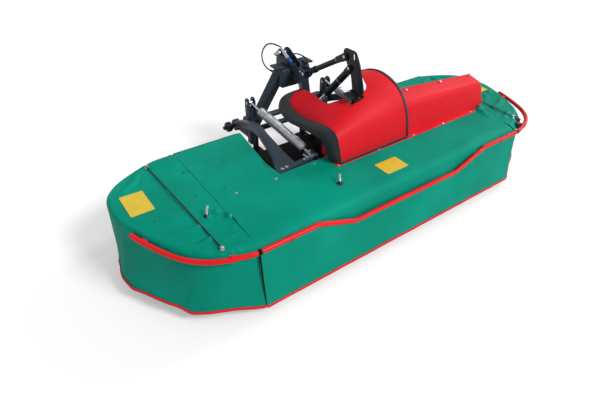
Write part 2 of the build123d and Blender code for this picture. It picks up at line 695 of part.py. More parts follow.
def lift_arm(name):
    side = SIDES[name]
    sections = []
    for i, (x, d, z, w, h) in enumerate(ARM_LINE):
        before, after = ARM_LINE[max(i - 1, 0)], ARM_LINE[min(i + 1, len(ARM_LINE) - 1)]
        way = Vector(0, after[1] - before[1], after[2] - before[2])
        sections.append(Plane(origin=(side * x, D(d), z), x_dir=(1, 0, 0), z_dir=way) * Rectangle(w, h))
    arm = loft(sections, ruled=True)
    x0, x1 = side * ARM_HINGE_X[0], side * ARM_HINGE_X[1]
    arm += cross_rod(x0, x1, ARM_A, ARM_TUBE_R)
    arm += block(side * 545, side * 690, ARM_A[0], 642, ARM_A[1] - 10, ARM_A[1] + 40)
    rear = side * ARM_REAR_X
    arm += cross_rod(rear - ARM_EYE_W / 2, rear + ARM_EYE_W / 2, HITCH, CROSS_BOSS_R)
    arm -= cross_rod(x0 * 0.9, x1 * 1.1, ARM_A, ARM_PIN_R + PIN_GAP)
    arm -= cross_rod(rear - ARM_EYE_W, rear + ARM_EYE_W, HITCH, CROSS_R + PIN_GAP)
    return arm


def arm_cross_tube():
    place = (CYL_ARM[0] + 44, CYL_ARM[1] - 45)
    reach = 492
    tube = cross_rod(-reach, reach, place, 22)
    half = CYL_EYE_W / 2 + SIDE_AIR
    lug = [
        (place[0] - 10, place[1] - 15), (place[0] + 10, place[1] + 20), (CYL_ARM[0], CYL_ARM[1] + 22),
        (CYL_ARM[0] - 24, CYL_ARM[1]), (CYL_ARM[0] - 14, CYL_ARM[1] - 22),
    ]
    for side in (-1, 1):
        tube += side_plate(lug, side * half, side * (half + 10))
    return tube


for name in SIDES:
    save(f"lift_arm_{name}", lift_arm(name))
save("arm_cross_tube", arm_cross_tube())


# ---------------------------------------------------------------- headstock
def headstock():
    """Cross tube with its hitch pins, two bent legs, the head box, and the plates and ears on it."""
    cross_end = ARM_REAR_X + ARM_EYE_W / 2 + SIDE_AIR
    frame = cross_rod(-cross_end, cross_end, HITCH, CROSS_R)
    frame += cross_rod(-HITCH_PIN_X, HITCH_PIN_X, HITCH, HITCH_PIN_R)
    frame += block(-HEAD_X, HEAD_X, *HEAD_D, *HEAD_Z)
    knee_x, knee_d, knee_z = KNEE
    pin, half = (1534, 574), SPRING_EYE_W / 2 + SIDE_AIR - 1
    spring_ear = [(1520, 545), (1545, 600), (1478, 622), (1458, 600), (1466, 578)]
    for side in SIDES.values():
        upper = (side * (knee_x + 8), knee_d, knee_z - 8)
        frame += square_bar((side * 120, 1440, 775), upper, LEG_W)
        frame += square_bar((side * knee_x, knee_d - 14, knee_z + 18), (side * LEG_FOOT_X, *HITCH), LEG_W)
        for x in (side * SPRING_X - half, side * SPRING_X + half + 10):
            frame += side_plate(spring_ear, x - 10, x)
        frame += cross_rod(side * (knee_x - 20), side * (SPRING_X + half + 10), pin, 18)
        frame += cross_rod(side * BALL_END_X, side * (BALL_END_X + COLLAR_T), HITCH, COLLAR_R)
        frame += sleeve(side)
        frame += top_plates(side)
    return frame + cross_rod(-80, 55, TOP_PIN, TOP_PIN_R)


def top_plates(side):
    """One side's plate for the tractor's top link, and its ear for the mower's upper link."""
    plate = [(1400, 820), (1480, 800), (1610, 905), (1600, 950), (1540, 955), (1420, 860)]
    ear = [(1385, 735), (1385, 825), (1255, 885), (1205, 872), (1203, 825), (1240, 800)]
    inner = LINK_EYE_R + SIDE_AIR + 1
    return side_plate(plate, side * 28, side * 40) + side_plate(ear, side * inner, side * (inner + LUG_T))


def sleeve(side):
    """Square guide for a parking stand, in front of the cross tube."""
    x = side * STAND_X
    w = STAND_W / 2 + STAND_GAP
    t = w + STAND_WALL
    outer = block(x - t, x + t, STAND_D - t, STAND_D + t, *SLEEVE_Z)
    outer += block(x - 15, x + 15, STAND_D + t - 1, HITCH_D, HITCH_Z - 15, HITCH_Z + 15)
    return outer - block(x - w, x + w, STAND_D - w, STAND_D + w, SLEEVE_Z[0] - 1, SLEEVE_Z[1] + 1)


def parking_stand(side):
    x = side * STAND_X
    w = STAND_W / 2
    leg = block(x - w, x + w, STAND_D - w, STAND_D + w, STAND_FOOT_T, STAND_TOP_Z)
    return leg + block(x - 60, x + 60, STAND_D - 50, STAND_D + 50, 0, STAND_FOOT_T)


def hitch_balls():
    half, bore = BALL_W / 2, HITCH_PIN_R + PIN_GAP
    rim = math.sqrt(BALL_R ** 2 - half ** 2)
    crown = ThreePointArc((-half, rim), (0, BALL_R), (half, rim))
    rest = Polyline((half, rim), (half, bore), (-half, bore), (-half, rim))
    ball = revolve(make_face(crown.edges() + rest.edges()), axis=Axis.X)
    return [Pos(side * BALL_X, D(HITCH_D), HITCH_Z) * ball for side in SIDES.values()]


save("headstock", headstock())
save("hitch_balls", *hitch_balls())
for name in SIDES:
    save(f"parking_stand_{name}", parking_stand(SIDES[name]))


# ---------------------------------------------------------------- links, cylinder and springs
def upper_link():
    body = bar_between(0, towards(LINK_MAST, LINK_REAR, 20), towards(LINK_REAR, LINK_MAST, 20), LINK_TUBE_R)
    half = MAST_GAP / 2 - SIDE_AIR
    for place in (LINK_MAST, LINK_REAR):
        body += cross_rod(-half, half, place, LINK_EYE_R)
    return body - cross_rod(-60, 60, LINK_MAST, LINK_PIN_R + PIN_GAP)


def along_cylinder(distance):
    return towards(CYL_MAST, CYL_ARM, distance)


def cylinder_barrel():
    half = MAST_GAP / 2 - SIDE_AIR
    body = cross_rod(-half, half, CYL_MAST, CYL_R + 1)
    body += bar_between(0, along_cylinder(15), along_cylinder(CYL_SPLIT), CYL_R)
    body -= cross_rod(-60, 60, CYL_MAST, LINK_PIN_R + PIN_GAP)
    return body - bar_between(0, along_cylinder(150), along_cylinder(CYL_SPLIT + 1), CYL_ROD_R + PIN_GAP)


def cylinder_rod():
    body = bar_between(0, along_cylinder(280), towards(CYL_ARM, CYL_MAST, 8), CYL_ROD_R)
    return body + cross_rod(-CYL_EYE_W / 2, CYL_EYE_W / 2, CYL_ARM, 20)


save("upper_link", upper_link())
save("cylinder_barrel", cylinder_barrel())
save("cylinder_rod", cylinder_rod())


def along_spring(distance):
    return towards(SPRING_FOOT, SPRING_TOP, distance)


def spring_coil(side):
    """A float spring as a closed cylinder on its foot eye, hollow at the top where its rod slides."""
    x = side * SPRING_X
    body = cross_rod(x - SPRING_EYE_W / 2, x + SPRING_EYE_W / 2, SPRING_FOOT, 2 * SPRING_PIN_R)
    body += bar_between(x, along_spring(COIL_START), along_spring(COIL_END), COIL_R)
    body += bar_between(x, along_spring(5), along_spring(COIL_START + 5), 10)
    body -= cross_rod(x - SPRING_EYE_W, x + SPRING_EYE_W, SPRING_FOOT, SPRING_PIN_R + PIN_GAP)
    return body - bar_between(x, along_spring(400), along_spring(COIL_END + 1), SPRING_ROD_R + PIN_GAP)


def spring_rod(side):
    x = side * SPRING_X
    body = bar_between(x, along_spring(420), towards(SPRING_TOP, SPRING_FOOT, 5), SPRING_ROD_R)
    return body + cross_rod(x - SPRING_EYE_W / 2 + 1, x + SPRING_EYE_W / 2 - 1, SPRING_TOP, 18)


for name in SIDES:
    save(f"spring_{name}", spring_coil(SIDES[name]))
    save(f"spring_rod_{name}", spring_rod(SIDES[name]))


# ---------------------------------------------------------------- hose
def hose_fittings():
    """The block that the hose leaves and the union that it comes back to, on brackets."""
    start, end = HOSE[0], HOSE[-1]
    plate_x = -MAST_GAP / 2 - 8
    valve = block(start[0] - 12, plate_x, start[1] - 46, start[1], 862, start[2] + 12)
    union = rod(end, (end[0], end[1] - 60, end[2]), 11)
    bracket = block(end[0] - 8, end[0] + 8, HEAD_D[1], end[1] - 60, end[2] - 6, end[2] + 6)
    return valve, union + bracket


def hose():
    points = [Vector(x, D(d), z) for x, d, z in HOSE]
    radii = []
    for a, b, c in zip(points, points[1:], points[2:]):
        turn = math.radians((b - a).get_angle(c - b))
        radii.append(0.45 * min((b - a).length, (c - b).length) / math.tan(turn / 2))
    path = FilletPolyline(*points, radius=radii)
    return swept_round(path, HOSE_R)


save("hose", hose())
save("hose_fittings", *hose_fittings())
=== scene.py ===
import json
import math

import bmesh
import bpy
from mathutils import Matrix, Vector, noise


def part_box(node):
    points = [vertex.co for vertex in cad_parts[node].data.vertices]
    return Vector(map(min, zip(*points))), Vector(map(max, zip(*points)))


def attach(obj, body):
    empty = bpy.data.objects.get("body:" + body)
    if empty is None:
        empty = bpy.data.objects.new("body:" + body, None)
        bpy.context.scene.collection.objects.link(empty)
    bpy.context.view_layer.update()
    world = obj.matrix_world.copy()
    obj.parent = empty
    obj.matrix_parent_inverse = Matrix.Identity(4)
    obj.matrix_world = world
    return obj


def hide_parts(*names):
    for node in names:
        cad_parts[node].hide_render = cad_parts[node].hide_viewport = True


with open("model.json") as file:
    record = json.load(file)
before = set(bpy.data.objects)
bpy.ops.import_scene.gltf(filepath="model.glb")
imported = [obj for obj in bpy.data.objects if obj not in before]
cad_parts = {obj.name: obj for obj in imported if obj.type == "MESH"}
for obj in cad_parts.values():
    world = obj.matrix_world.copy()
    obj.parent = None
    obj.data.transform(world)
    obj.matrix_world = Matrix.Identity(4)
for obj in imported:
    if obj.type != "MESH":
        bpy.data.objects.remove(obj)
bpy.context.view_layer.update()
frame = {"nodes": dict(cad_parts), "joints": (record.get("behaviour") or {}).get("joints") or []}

# A front-mounted disc mower with folding canvas guards. X runs across the machine, which travels
# towards -Y. Fore-and-aft places are distances behind the front guard tube. Lists of points and
# the numbers given to spot, block, plate_at and turned are millimetres; all else is in metres.

tube_low, tube_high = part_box("front_tube")
deck_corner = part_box("deck_fabric_right")[1]
TUBE_R = (tube_high.y - tube_low.y) / 2
TUBE_Y = (tube_high.y + tube_low.y) / 2
TUBE_Z = tube_high.z - TUBE_R
TUBE_DROP = TUBE_Z - TUBE_R - tube_low.z
TOP_Z = deck_corner.z
DECK_REAR = deck_corner.y - TUBE_Y
CANVAS = 0.0015
SIDES = {"right": -1, "left": 1}
X_WAY, UP = Vector((1, 0, 0)), Vector((0, 0, 1))
pivot = {joint["name"]: Vector(joint["pos_m"]) for joint in frame["joints"] if "pos_m" in joint}


def at(x, behind, z):
    """A place given across the machine, as a distance behind the front tube, and as a height."""
    return Vector((x, TUBE_Y + behind, z))


def spot(x, behind, z):
    """The same, given in millimetres."""
    return at(x / 1000, behind / 1000, z / 1000)


def metres(rows):
    """Rows of millimetres as rows of metres."""
    return [tuple(n / 1000 for n in row) for row in rows]


def vectors(rows):
    return [Vector(row) for row in metres(rows)]


def along(points, t):
    """A smooth line through the points, read at t from 0 to 1."""
    last = len(points) - 1
    reach = min(max(t, 0.0), 1.0) * last
    i = min(int(reach), last - 1)
    f = reach - i
    a, b, c, d = (points[min(max(k, 0), last)] for k in (i - 1, i, i + 1, i + 2))
    return b + 0.5 * f * ((c - a) + f * (2 * a - 5 * b + 4 * c - d + f * (3 * (b - c) + d - a)))


def resampled(points, steps):
    return [along(points, i / steps) for i in range(steps + 1)]


def arc_between(a, corner, b, t):
    """A round corner from a to b, with straight starts towards the corner."""
    return a * (1 - t) ** 2 + corner * 2 * t * (1 - t) + b * t ** 2


def ease(t):
    t = min(max(t, 0.0), 1.0)
    return t * t * (3 - 2 * t)


def ripple(height, *place):
    return height * noise.noise(Vector(place))


def in_scene(name, data):
    thing = bpy.data.objects.new(name, data)
    bpy.context.scene.collection.objects.link(thing)
    return thing


# ---------------------------------------------------------------- camera and light
CAMERA_PLACE = (-2.09480, -2.47044, 2.25054)
CAMERA_TURN, CAMERA_TIP, CAMERA_LEAN = 0.625654, 0.654946, 0.011259


def set_camera():
    data = bpy.data.cameras.new("camera")
    data.lens, data.sensor_width, data.clip_end = 27.0, 36.0, 100.0
    camera = in_scene("camera", data)
    camera.matrix_world = (
        Matrix.Translation(CAMERA_PLACE) @ Matrix.Rotation(-CAMERA_TURN, 4, "Z")
        @ Matrix.Rotation(math.pi / 2 - CAMERA_TIP, 4, "X") @ Matrix.Rotation(CAMERA_LEAN, 4, "Z")
    )
    bpy.context.scene.camera = camera
    bpy.context.scene.view_settings.view_transform = "Standard"


def sun(name, towards, strength, spread):
    data = bpy.data.lights.new(name, "SUN")
    data.energy, data.angle = strength, math.radians(spread)
    in_scene(name, data).rotation_euler = Vector(towards).to_track_quat("Z", "Y").to_euler()


set_camera()

# The hose's route, the same points as in the part's source.
HOSE = [
    (-52, 1526, 983), (-52, 1610, 983), (-55, 1705, 966), (-60, 1785, 912), (-64, 1832, 818),
    (-56, 1785, 728), (-56, 1700, 728),
]
HOSE_R = 0.006


def hose_curve():
    data = bpy.data.curves.new("hose_line", "CURVE")
    data.dimensions = "3D"
    spline = data.splines.new("NURBS")
    spline.points.add(len(HOSE) - 1)
    for point, place in zip(spline.points, HOSE):
        point.co = (*spot(*place), 1)
    spline.order_u, spline.use_endpoint_u, spline.resolution_u = 3, True, 16
    curve = in_scene("hose_line", data)
    bare = bpy.data.meshes.new_from_object(curve)
    route = [v.co.copy() for v in bare.vertices]
    bpy.data.meshes.remove(bare)
    data.bevel_depth, data.bevel_resolution, data.use_fill_caps = HOSE_R, 5, True
    return curve, route


hose_line, hose_route = hose_curve()


# ---------------------------------------------------------------- paint shop
class Wire:
    """A number, colour or vector on its way through the nodes of a finish."""

    def __init__(self, paint, socket):
        self.paint, self.socket = paint, socket

    def maths(self, operation, *values):
        return self.paint.node("ShaderNodeMath", {"operation": operation}, dict(enumerate(values)))

    def sine(self):
        return self.maths("SINE", self)

    def __add__(self, other):
        return self.maths("ADD", self, other)

    def __rsub__(self, other):
        return self.maths("SUBTRACT", other, self)

    def __mul__(self, other):
        return self.maths("MULTIPLY", self, other)

    __radd__, __rmul__ = __add__, __mul__


def tone(red, green, blue):
    """A colour card's 0 to 255 values as the shader takes them."""
    linear = (((c / 255 + 0.055) / 1.055) ** 2.4 if c > 10 else c / 255 / 12.92 for c in (red, green, blue))
    return (*linear, 1)


class Paint:
    """A finish, whose nodes are added one call at a time."""

    def __init__(self, name, owner=None, colour=None, roughness=0.5, metallic=0.0, **constants):
        self.owner = owner or bpy.data.materials.new(name)
        self.owner.use_nodes = True
        self.tree = self.owner.node_tree
        self.surface = self.tree.nodes.get("Principled BSDF")
        if colour:
            self.set(Base_Color=colour, Roughness=roughness, Metallic=metallic, **constants)

    def feed(self, socket, value):
        if isinstance(value, Wire):
            self.tree.links.new(value.socket, socket)
        else:
            socket.default_value = value

    def node(self, kind, settings=None, inputs=None, out=0):
        made = self.tree.nodes.new(kind)
        for key, value in (settings or {}).items():
            setattr(made, key, value)
        for key, value in (inputs or {}).items():
            self.feed(made.inputs[key], value)
        return Wire(self, made.outputs[out])

    def where(self, kind="Object"):
        return self.node("ShaderNodeTexCoord", out=kind)

    def cloud(self, scale, detail=3.0, stretch=None):
        """Noise so fine, pulled out along the axes where a stretch is given."""
        vector = self.where()
        if stretch:
            vector = self.node("ShaderNodeMapping", None, {"Vector": vector, "Scale": stretch})
        return self.node("ShaderNodeTexNoise", None, {"Vector": vector, "Scale": scale, "Detail": detail})

    def step(self, value, low, high):
        """0 below low, 1 above high, smooth between."""
        inputs = {"Value": value, "From Min": low, "From Max": high}
        return self.node("ShaderNodeMapRange", {"interpolation_type": "SMOOTHSTEP"}, inputs)

    def mix(self, share, a, b):
        return self.node("ShaderNodeMix", {"data_type": "RGBA"}, {0: share, 6: a, 7: b}, out=2)

    def set(self, **sockets):
        for socket, value in sockets.items():
            self.feed(self.surface.inputs[socket.replace("_", " ")], value)
        return self

    def relief(self, height, depth, strength=1.0):
        """Bump of so many metres."""
        inputs = {"Height": height, "Distance": depth, "Strength": strength}
        return self.set(Normal=self.node("ShaderNodeBump", None, inputs))


def canvas_paint():
    """Coated truck canvas: a fine woven scrim under the skin, faint stains, duller where dust lies."""
    paint = Paint("canvas_green", colour=tone(0, 144, 122), Specular_IOR_Level=0.06)
    weave = {"Vector": paint.where("UV")}
    u, v = (paint.node("ShaderNodeSeparateXYZ", None, weave, axis) for axis in "XY")
    pitch = math.tau / 0.0028
    threads = (u * pitch).sine() * (v * pitch).sine()
    broad, fine = paint.cloud(2.2, 4.0), paint.cloud(38.0, 4.0)
    green = paint.mix(paint.step(broad, 0.35, 0.68), tone(0, 142, 119), tone(0, 155, 131))
    dusty = paint.mix(paint.step(fine, 0.56, 0.8) * 0.12, green, tone(0, 158, 136))
    scuffs = paint.step(paint.cloud(9.0, 8.0, (1, 1, 3)), 0.62, 0.72)
    paint.set(Base_Color=paint.mix(scuffs * 0.07, dusty, tone(30, 172, 152)))
    paint.set(Roughness=0.40 + 0.16 * fine + 0.06 * scuffs)
    return paint.relief(threads * 0.25 + fine * 0.6 + broad * 1.2, 0.0007, 0.5)


def sprayed(name, colour, deeper, roughness, coat, grain=420.0, depth=0.00008):
    """Sprayed paint: a little drift in its shade, orange peel, a film of dust and small scratches."""
    paint = Paint(name, colour=colour, Coat_Roughness=0.12, Coat_Weight=coat, Specular_IOR_Level=0.15)
    broad, fine = paint.cloud(3.0, 3.0), paint.cloud(grain, 2.0)
    scratch = paint.step(paint.cloud(34.0, 10.0, (1, 4, 9)), 0.66, 0.72)
    body = paint.mix(paint.step(broad, 0.3, 0.7), colour, deeper)
    paint.set(Base_Color=paint.mix(scratch * 0.10, body, tone(200, 196, 190)))
    paint.set(Roughness=roughness + 0.08 * broad + 0.12 * scratch)
    return paint.relief(fine + scratch * 0.4, depth)


def moulded(name, colour, pale, roughness, grain=900.0, depth=0.00012):
    """Grained black plastic or rubber with a grey bloom of dust."""
    paint = Paint(name, colour=colour)
    broad, fine = paint.cloud(6.0, 4.0), paint.cloud(grain, 2.0)
    paint.set(Base_Color=paint.mix(paint.step(broad, 0.45, 0.8) * 0.5, colour, pale))
    paint.set(Roughness=roughness + 0.14 * broad)
    return paint.relief(fine, depth)


def plated(name, bright, dull, roughness, stain=26.0, lines=(1, 1, 1)):
    """Bare or plated metal with cloudy patches and drawn lines."""
    paint = Paint(name, colour=bright, metallic=1.0)
    patch, drawn = paint.cloud(stain, 5.0), paint.cloud(160.0, 3.0, lines)
    paint.set(Base_Color=paint.mix(paint.step(patch, 0.38, 0.66), bright, dull))
    paint.set(Roughness=roughness + 0.18 * patch, Metallic=1.0 - 0.25 * paint.step(patch, 0.6, 0.75))
    return paint.relief(drawn, 0.00006)


def reflective_plate():
    """Yellow reflective sheet with a pale grid of cells."""
    paint = Paint("plate_yellow", colour=tone(245, 213, 46), roughness=0.34, Coat_Weight=0.35)
    cells = paint.node("ShaderNodeTexVoronoi", None, {"Vector": paint.where(), "Scale": 260.0})
    broad = paint.cloud(14.0, 4.0)
    yellow = paint.mix(paint.step(broad, 0.35, 0.7), tone(233, 198, 30), tone(227, 190, 24))
    paint.set(Base_Color=paint.mix(paint.step(cells, 0.5, 0.9) * 0.15, yellow, tone(255, 240, 150)))
    return paint.relief(cells, 0.00005)


CANVAS_GREEN = canvas_paint()
HOOD_RED = sprayed("hood_red", tone(232, 28, 42), tone(225, 24, 38), 0.46, 0.0)
TUBE_RED = sprayed("tube_red", tone(238, 30, 38), tone(230, 26, 34), 0.36, 0.1)
ANTHRACITE = sprayed("frame_anthracite", tone(56, 68, 80), tone(46, 57, 68), 0.42, 0.1, 700.0, 0.00012)
MAST_BLACK = sprayed("mast_black", tone(30, 33, 39), tone(23, 25, 29), 0.38, 0.2)
SATIN_BLACK = moulded("satin_black", tone(36, 38, 42), tone(62, 64, 68), 0.42)
RUBBER = moulded("black_rubber", tone(26, 27, 29), tone(50, 50, 52), 0.55)
YELLOW = reflective_plate()
BARE_STEEL = plated("bare_steel", tone(150, 150, 148), tone(112, 106, 98), 0.36, 14.0, (1, 6, 1))
ZINC = plated("zinc", tone(214, 217, 221), tone(190, 194, 200), 0.26)
CHROME = plated("chrome", tone(226, 229, 233), tone(204, 208, 214), 0.10)
DARK_STEEL = plated("dark_steel", tone(74, 76, 80), tone(48, 50, 54), 0.34)
BLUE = sprayed("blue_body", tone(26, 100, 205), tone(18, 84, 184), 0.3, 0.4)
GREEN_SLEEVE = moulded("green_sleeve", tone(0, 138, 104), tone(40, 160, 130), 0.45)
STRAP_BLACK = moulded("strap_black", tone(20, 22, 24), tone(44, 46, 48), 0.6, 1600.0, 0.0003)
# Near-black that paints the shade inside the machine onto the deck plate; the parking stands are given it too.
SHADE_BLACK = sprayed("painted_shade_black", tone(26, 27, 28), tone(16, 17, 18), 0.6, 0.0)

SLOT_PAINT = {
    "canvas_green": CANVAS_GREEN, "red_paint": HOOD_RED, "tube_red": TUBE_RED, "frame_grey": ANTHRACITE,
    "mast_black": MAST_BLACK, "trim_black": SATIN_BLACK, "plate_yellow": YELLOW, "bare_steel": BARE_STEEL,
    "zinc": ZINC, "hose_rubber": RUBBER,
}
# The deck plate gets the near-black as painted shade for the dark inside of the machine.
NODE_PAINT = {
    "hitch_balls": DARK_STEEL, "deck_plate": SHADE_BLACK, "parking_stand_right": SHADE_BLACK,
    "parking_stand_left": SHADE_BLACK,
}
slot_of = {paint: slot for slot, paint in SLOT_PAINT.items()}
slot_of.update({
    RUBBER: "trim_black", STRAP_BLACK: "trim_black", CHROME: "zinc", BLUE: "hose_rubber",
    GREEN_SLEEVE: "hose_rubber",
})

for node_name, cad_node in frame["nodes"].items():
    for cad_slot in cad_node.material_slots:
        paint = NODE_PAINT.get(node_name) or SLOT_PAINT[cad_slot.material.name.split(".")[0]]
        cad_slot.material = paint.owner


# ---------------------------------------------------------------- bench tools
def mesh_from(name, bm):
    mesh = bpy.data.meshes.new(name)
    bm.to_mesh(mesh)
    bm.free()
    return mesh


def pour(bm, part, matrix=Matrix(), closed=True):
    """Merge a shape's doubles, turn it outwards, put it in place and add it to the work in hand."""
    bmesh.ops.remove_doubles(part, verts=part.verts, dist=1e-6)
    if closed:
        bmesh.ops.recalc_face_normals(part, faces=part.faces)
    bmesh.ops.transform(part, matrix=matrix, verts=part.verts)
    mesh = mesh_from("poured", part)
    bm.from_mesh(mesh)
    bpy.data.meshes.remove(mesh)
    return bm


def stand(base, axis):
    """Sets a shape's own Z along an axis, with its foot at base."""
    return Matrix.Translation(base) @ Vector(axis).to_track_quat("Z", "Y").to_matrix().to_4x4()


def ease_edges(part, width, segments=2, least=30):
    edges = [e for e in part.edges if len(e.link_faces) == 2 and e.calc_face_angle() > math.radians(least)]
    bmesh.ops.bevel(
        part, geom=edges, offset=width, affect="EDGES", segments=segments, profile=0.5, material=-1,
        clamp_overlap=True,
    )


def spun(bm, base, axis, profile, steps):
    """A lathe shape: pairs of radius and height in metres, spun about an axis that starts at base."""
    part = bmesh.new()
    points = [part.verts.new((radius, 0, height)) for radius, height in profile]
    edges = [part.edges.new(pair) for pair in zip(points, points[1:])]
    bmesh.ops.spin(
        part, geom=points + edges, cent=(0, 0, 0), axis=UP, dvec=(0, 0, 0), angle=math.tau,
        steps=steps, use_merge=True,
    )
    return pour(bm, part, stand(base, axis))


def turned(bm, base, axis, profile, steps=24):
    """The same, from pairs in millimetres."""
    return spun(bm, base, axis, metres(profile), steps)


def round_bar(bm, a, b, radius, lip=0.0015, steps=24):
    """A round bar between two places with eased ends."""
    length, flat = (b - a).length, radius - lip
    profile = [(0, 0), (flat, 0), (radius, lip), (radius, length - lip), (flat, length), (0, length)]
    return spun(bm, a, b - a, profile, steps)


def across(bm, centre, half, radius, lip=0.0015, steps=24):
    """A pin or boss along X, centred on a place."""
    return round_bar(bm, centre - X_WAY * half, centre + X_WAY * half, radius, lip, steps)


def screw(bm, place, axis=UP, radius=0.0085):
    """A domed screw head on its washer."""
    washer = radius * 1.35
    spun(bm, place, axis, [
        (0, 0), (washer, 0), (washer, 0.0015), (radius, 0.0018), (radius * 0.95, 0.0035),
        (radius * 0.6, 0.0052), (0, 0.0058),
    ], 16)


def pushed_out(part, push):
    """Gives a flat shape its thickness."""
    grown = bmesh.ops.extrude_face_region(part, geom=part.faces[:])["geom"]
    moved = [g for g in grown if isinstance(g, bmesh.types.BMVert)]
    bmesh.ops.translate(part, verts=moved, vec=push)
    bmesh.ops.recalc_face_normals(part, faces=part.faces)


def slab(bm, outline, push, soften=0.002, segments=2):
    """A plate cut to an outline of places and pushed out to its thickness, edges eased."""
    part = bmesh.new()
    part.faces.new([part.verts.new(place) for place in outline])
    pushed_out(part, push)
    if soften:
        ease_edges(part, soften, segments)
    return pour(bm, part)


def lying_plate(bm, corners, thick, soften=0.002):
    return slab(bm, [spot(*corner) for corner in corners], UP * thick, soften)


def plate_at(bm, x0, x1, outline, soften=0.002):
    """A plate that stands fore and aft between two X values, cut to (behind, height) pairs."""
    return slab(bm, [spot(x0, d, z) for d, z in outline], X_WAY * (x1 - x0) / 1000, soften)


def block(bm, low, high, soften=0.002, segments=2):
    """A block between two (x, behind, z) corners."""
    x0, x1 = sorted((low[0], high[0]))
    (_, d0, z0), (_, d1, z1) = low, high
    outline = [spot(x0, d0, z0), spot(x1, d0, z0), spot(x1, d1, z0), spot(x0, d1, z0)]
    return slab(bm, outline, UP * (z1 - z0) / 1000, soften, segments)


def grid(columns, rows, place, size=(1, 1)):
    """A net whose knots go where place(u, v) says, u and v from 0 to 1, with its cut size as its map."""
    part = bmesh.new()
    bmesh.ops.create_grid(part, x_segments=columns, y_segments=rows, size=0.5)
    weave = part.loops.layers.uv.new("weave")
    for vert in part.verts:
        u, v = vert.co.x + 0.5, vert.co.y + 0.5
        for loop in vert.link_loops:
            loop[weave].uv = (u * size[0], v * size[1])
        vert.co = place(u, v)
    return part


def shelled(part, depth):
    """An open net made into a closed shell."""
    bmesh.ops.recalc_face_normals(part, faces=part.faces)
    bmesh.ops.solidify(part, geom=part.faces[:], thickness=depth)
    return pour(bmesh.new(), part)


def sweep(bm, path, section):
    """Carries a closed section, as (side, up) pairs, along a path of (place, side, up)."""
    spans, around = len(path) - 1, len(section)

    def place(u, v):
        centre, side, up = path[round(u * spans)]
        a, b = section[round(v * around) % around]
        return centre + side * a + up * b

    part = grid(spans, around, place)
    bmesh.ops.remove_doubles(part, verts=part.verts, dist=1e-7)
    bmesh.ops.holes_fill(part, edges=[e for e in part.edges if e.is_boundary], sides=0)
    return pour(bm, part)


def rounded_section(width, height, radius, steps=3):
    """A rectangle with round corners, as (side, up) pairs."""
    section = []
    for turn, (a, b) in enumerate(((1, 1), (-1, 1), (-1, -1), (1, -1))):
        for step in range(steps + 1):
            angle = math.pi / 2 * (turn + step / steps)
            section.append((
                a * (width / 2 - radius) + radius * math.cos(angle),
                b * (height / 2 - radius) + radius * math.sin(angle),
            ))
    return section


def path_of(places, up=UP):
    """Places with a side and an up direction at each, for a sweep."""
    path = []
    for i, place in enumerate(places):
        way = places[min(i + 1, len(places) - 1)] - places[max(i - 1, 0)]
        side = way.cross(up).normalized()
        path.append((place, side, side.cross(way).normalized()))
    return path


def round_wire(bm, places, radius, around=10, up=UP):
    """A round bar or pipe bent along places."""
    angles = [k * math.tau / around for k in range(around)]
    circle = [(radius * math.cos(angle), radius * math.sin(angle)) for angle in angles]
    return sweep(bm, path_of(places, up), circle)


def finished(name, bm, paint, body, *replaces, slot=None, crease=40):
    """Turns the work in hand into a piece that rides on a body and stands for CAD nodes."""
    mesh = mesh_from(name, bm)
    mesh.materials.append(paint.owner)
    mesh.polygons.foreach_set("use_smooth", [True] * len(mesh.polygons))
    mesh.set_sharp_from_angle(angle=math.radians(crease))
    piece = in_scene(name, mesh)
    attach(piece, body)
    if replaces:
        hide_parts(*replaces)
    slot or slot_of[paint]
    return piece


def thicken(piece):
    """Gives cloth its thickness, with crisp cut edges."""
    shell = piece.modifiers.new("thickness", "SOLIDIFY")
    shell.thickness, shell.offset = CANVAS, 0.0
    rims = piece.modifiers.new("rims", "EDGE_SPLIT")
    rims.split_angle, rims.use_edge_sharp = math.radians(60), False


def carved(piece, cutter, crease):
    """Cuts a closed shape out of a piece's mesh."""
    tool = in_scene("cutter", mesh_from("cutter", cutter))
    cut = piece.modifiers.new("cut", "BOOLEAN")
    cut.operation, cut.object, cut.solver = "DIFFERENCE", tool, "EXACT"
    bpy.context.view_layer.update()
    result = bpy.data.meshes.new_from_object(piece.evaluated_get(bpy.context.evaluated_depsgraph_get()))
    piece.modifiers.remove(cut)
    bpy.data.objects.remove(tool)
    result.name = piece.name
    result.set_sharp_from_angle(angle=math.radians(crease))
    piece.data = result


# ---------------------------------------------------------------- canvas
PUCKERS = metres([(-764, 518), (-1064, 530), (-438, 519), (764, 760), (1064, 790)])
CREASES = metres([
    # from X and behind, to X and behind, width, height
    (1335, 415, 1262, 430, 20, 12), (1262, 430, 1205, 345, 18, 14), (1205, 345, 1200, 260, 22, 8),
    (1610, 420, 1380, 352, 30, 8), (1575, 290, 1420, 252, 16, -7), (1365, 112, 1200, 86, 12, -8),
    (1460, 235, 1270, 190, 22, 7), (1720, 920, 1490, 1085, 32, 10), (1640, 930, 1500, 1050, 14, -6),
    (1290, 935, 1222, 952, 14, -6), (1560, 560, 1420, 480, 26, 5), (1700, 640, 1600, 560, 22, 6),
    (1450, 780, 1260, 820, 30, -4), (1400, 1120, 1240, 1060, 20, 7),
])
FRONT_JOIN, SPLIT_X = 0.400, 1.2065
FOLD_X = {"right": 1.212, "left": 1.353}
HEM_Z, HEM_OUT = 0.050, -0.045
TUCK_Z = TUBE_Z - 0.030


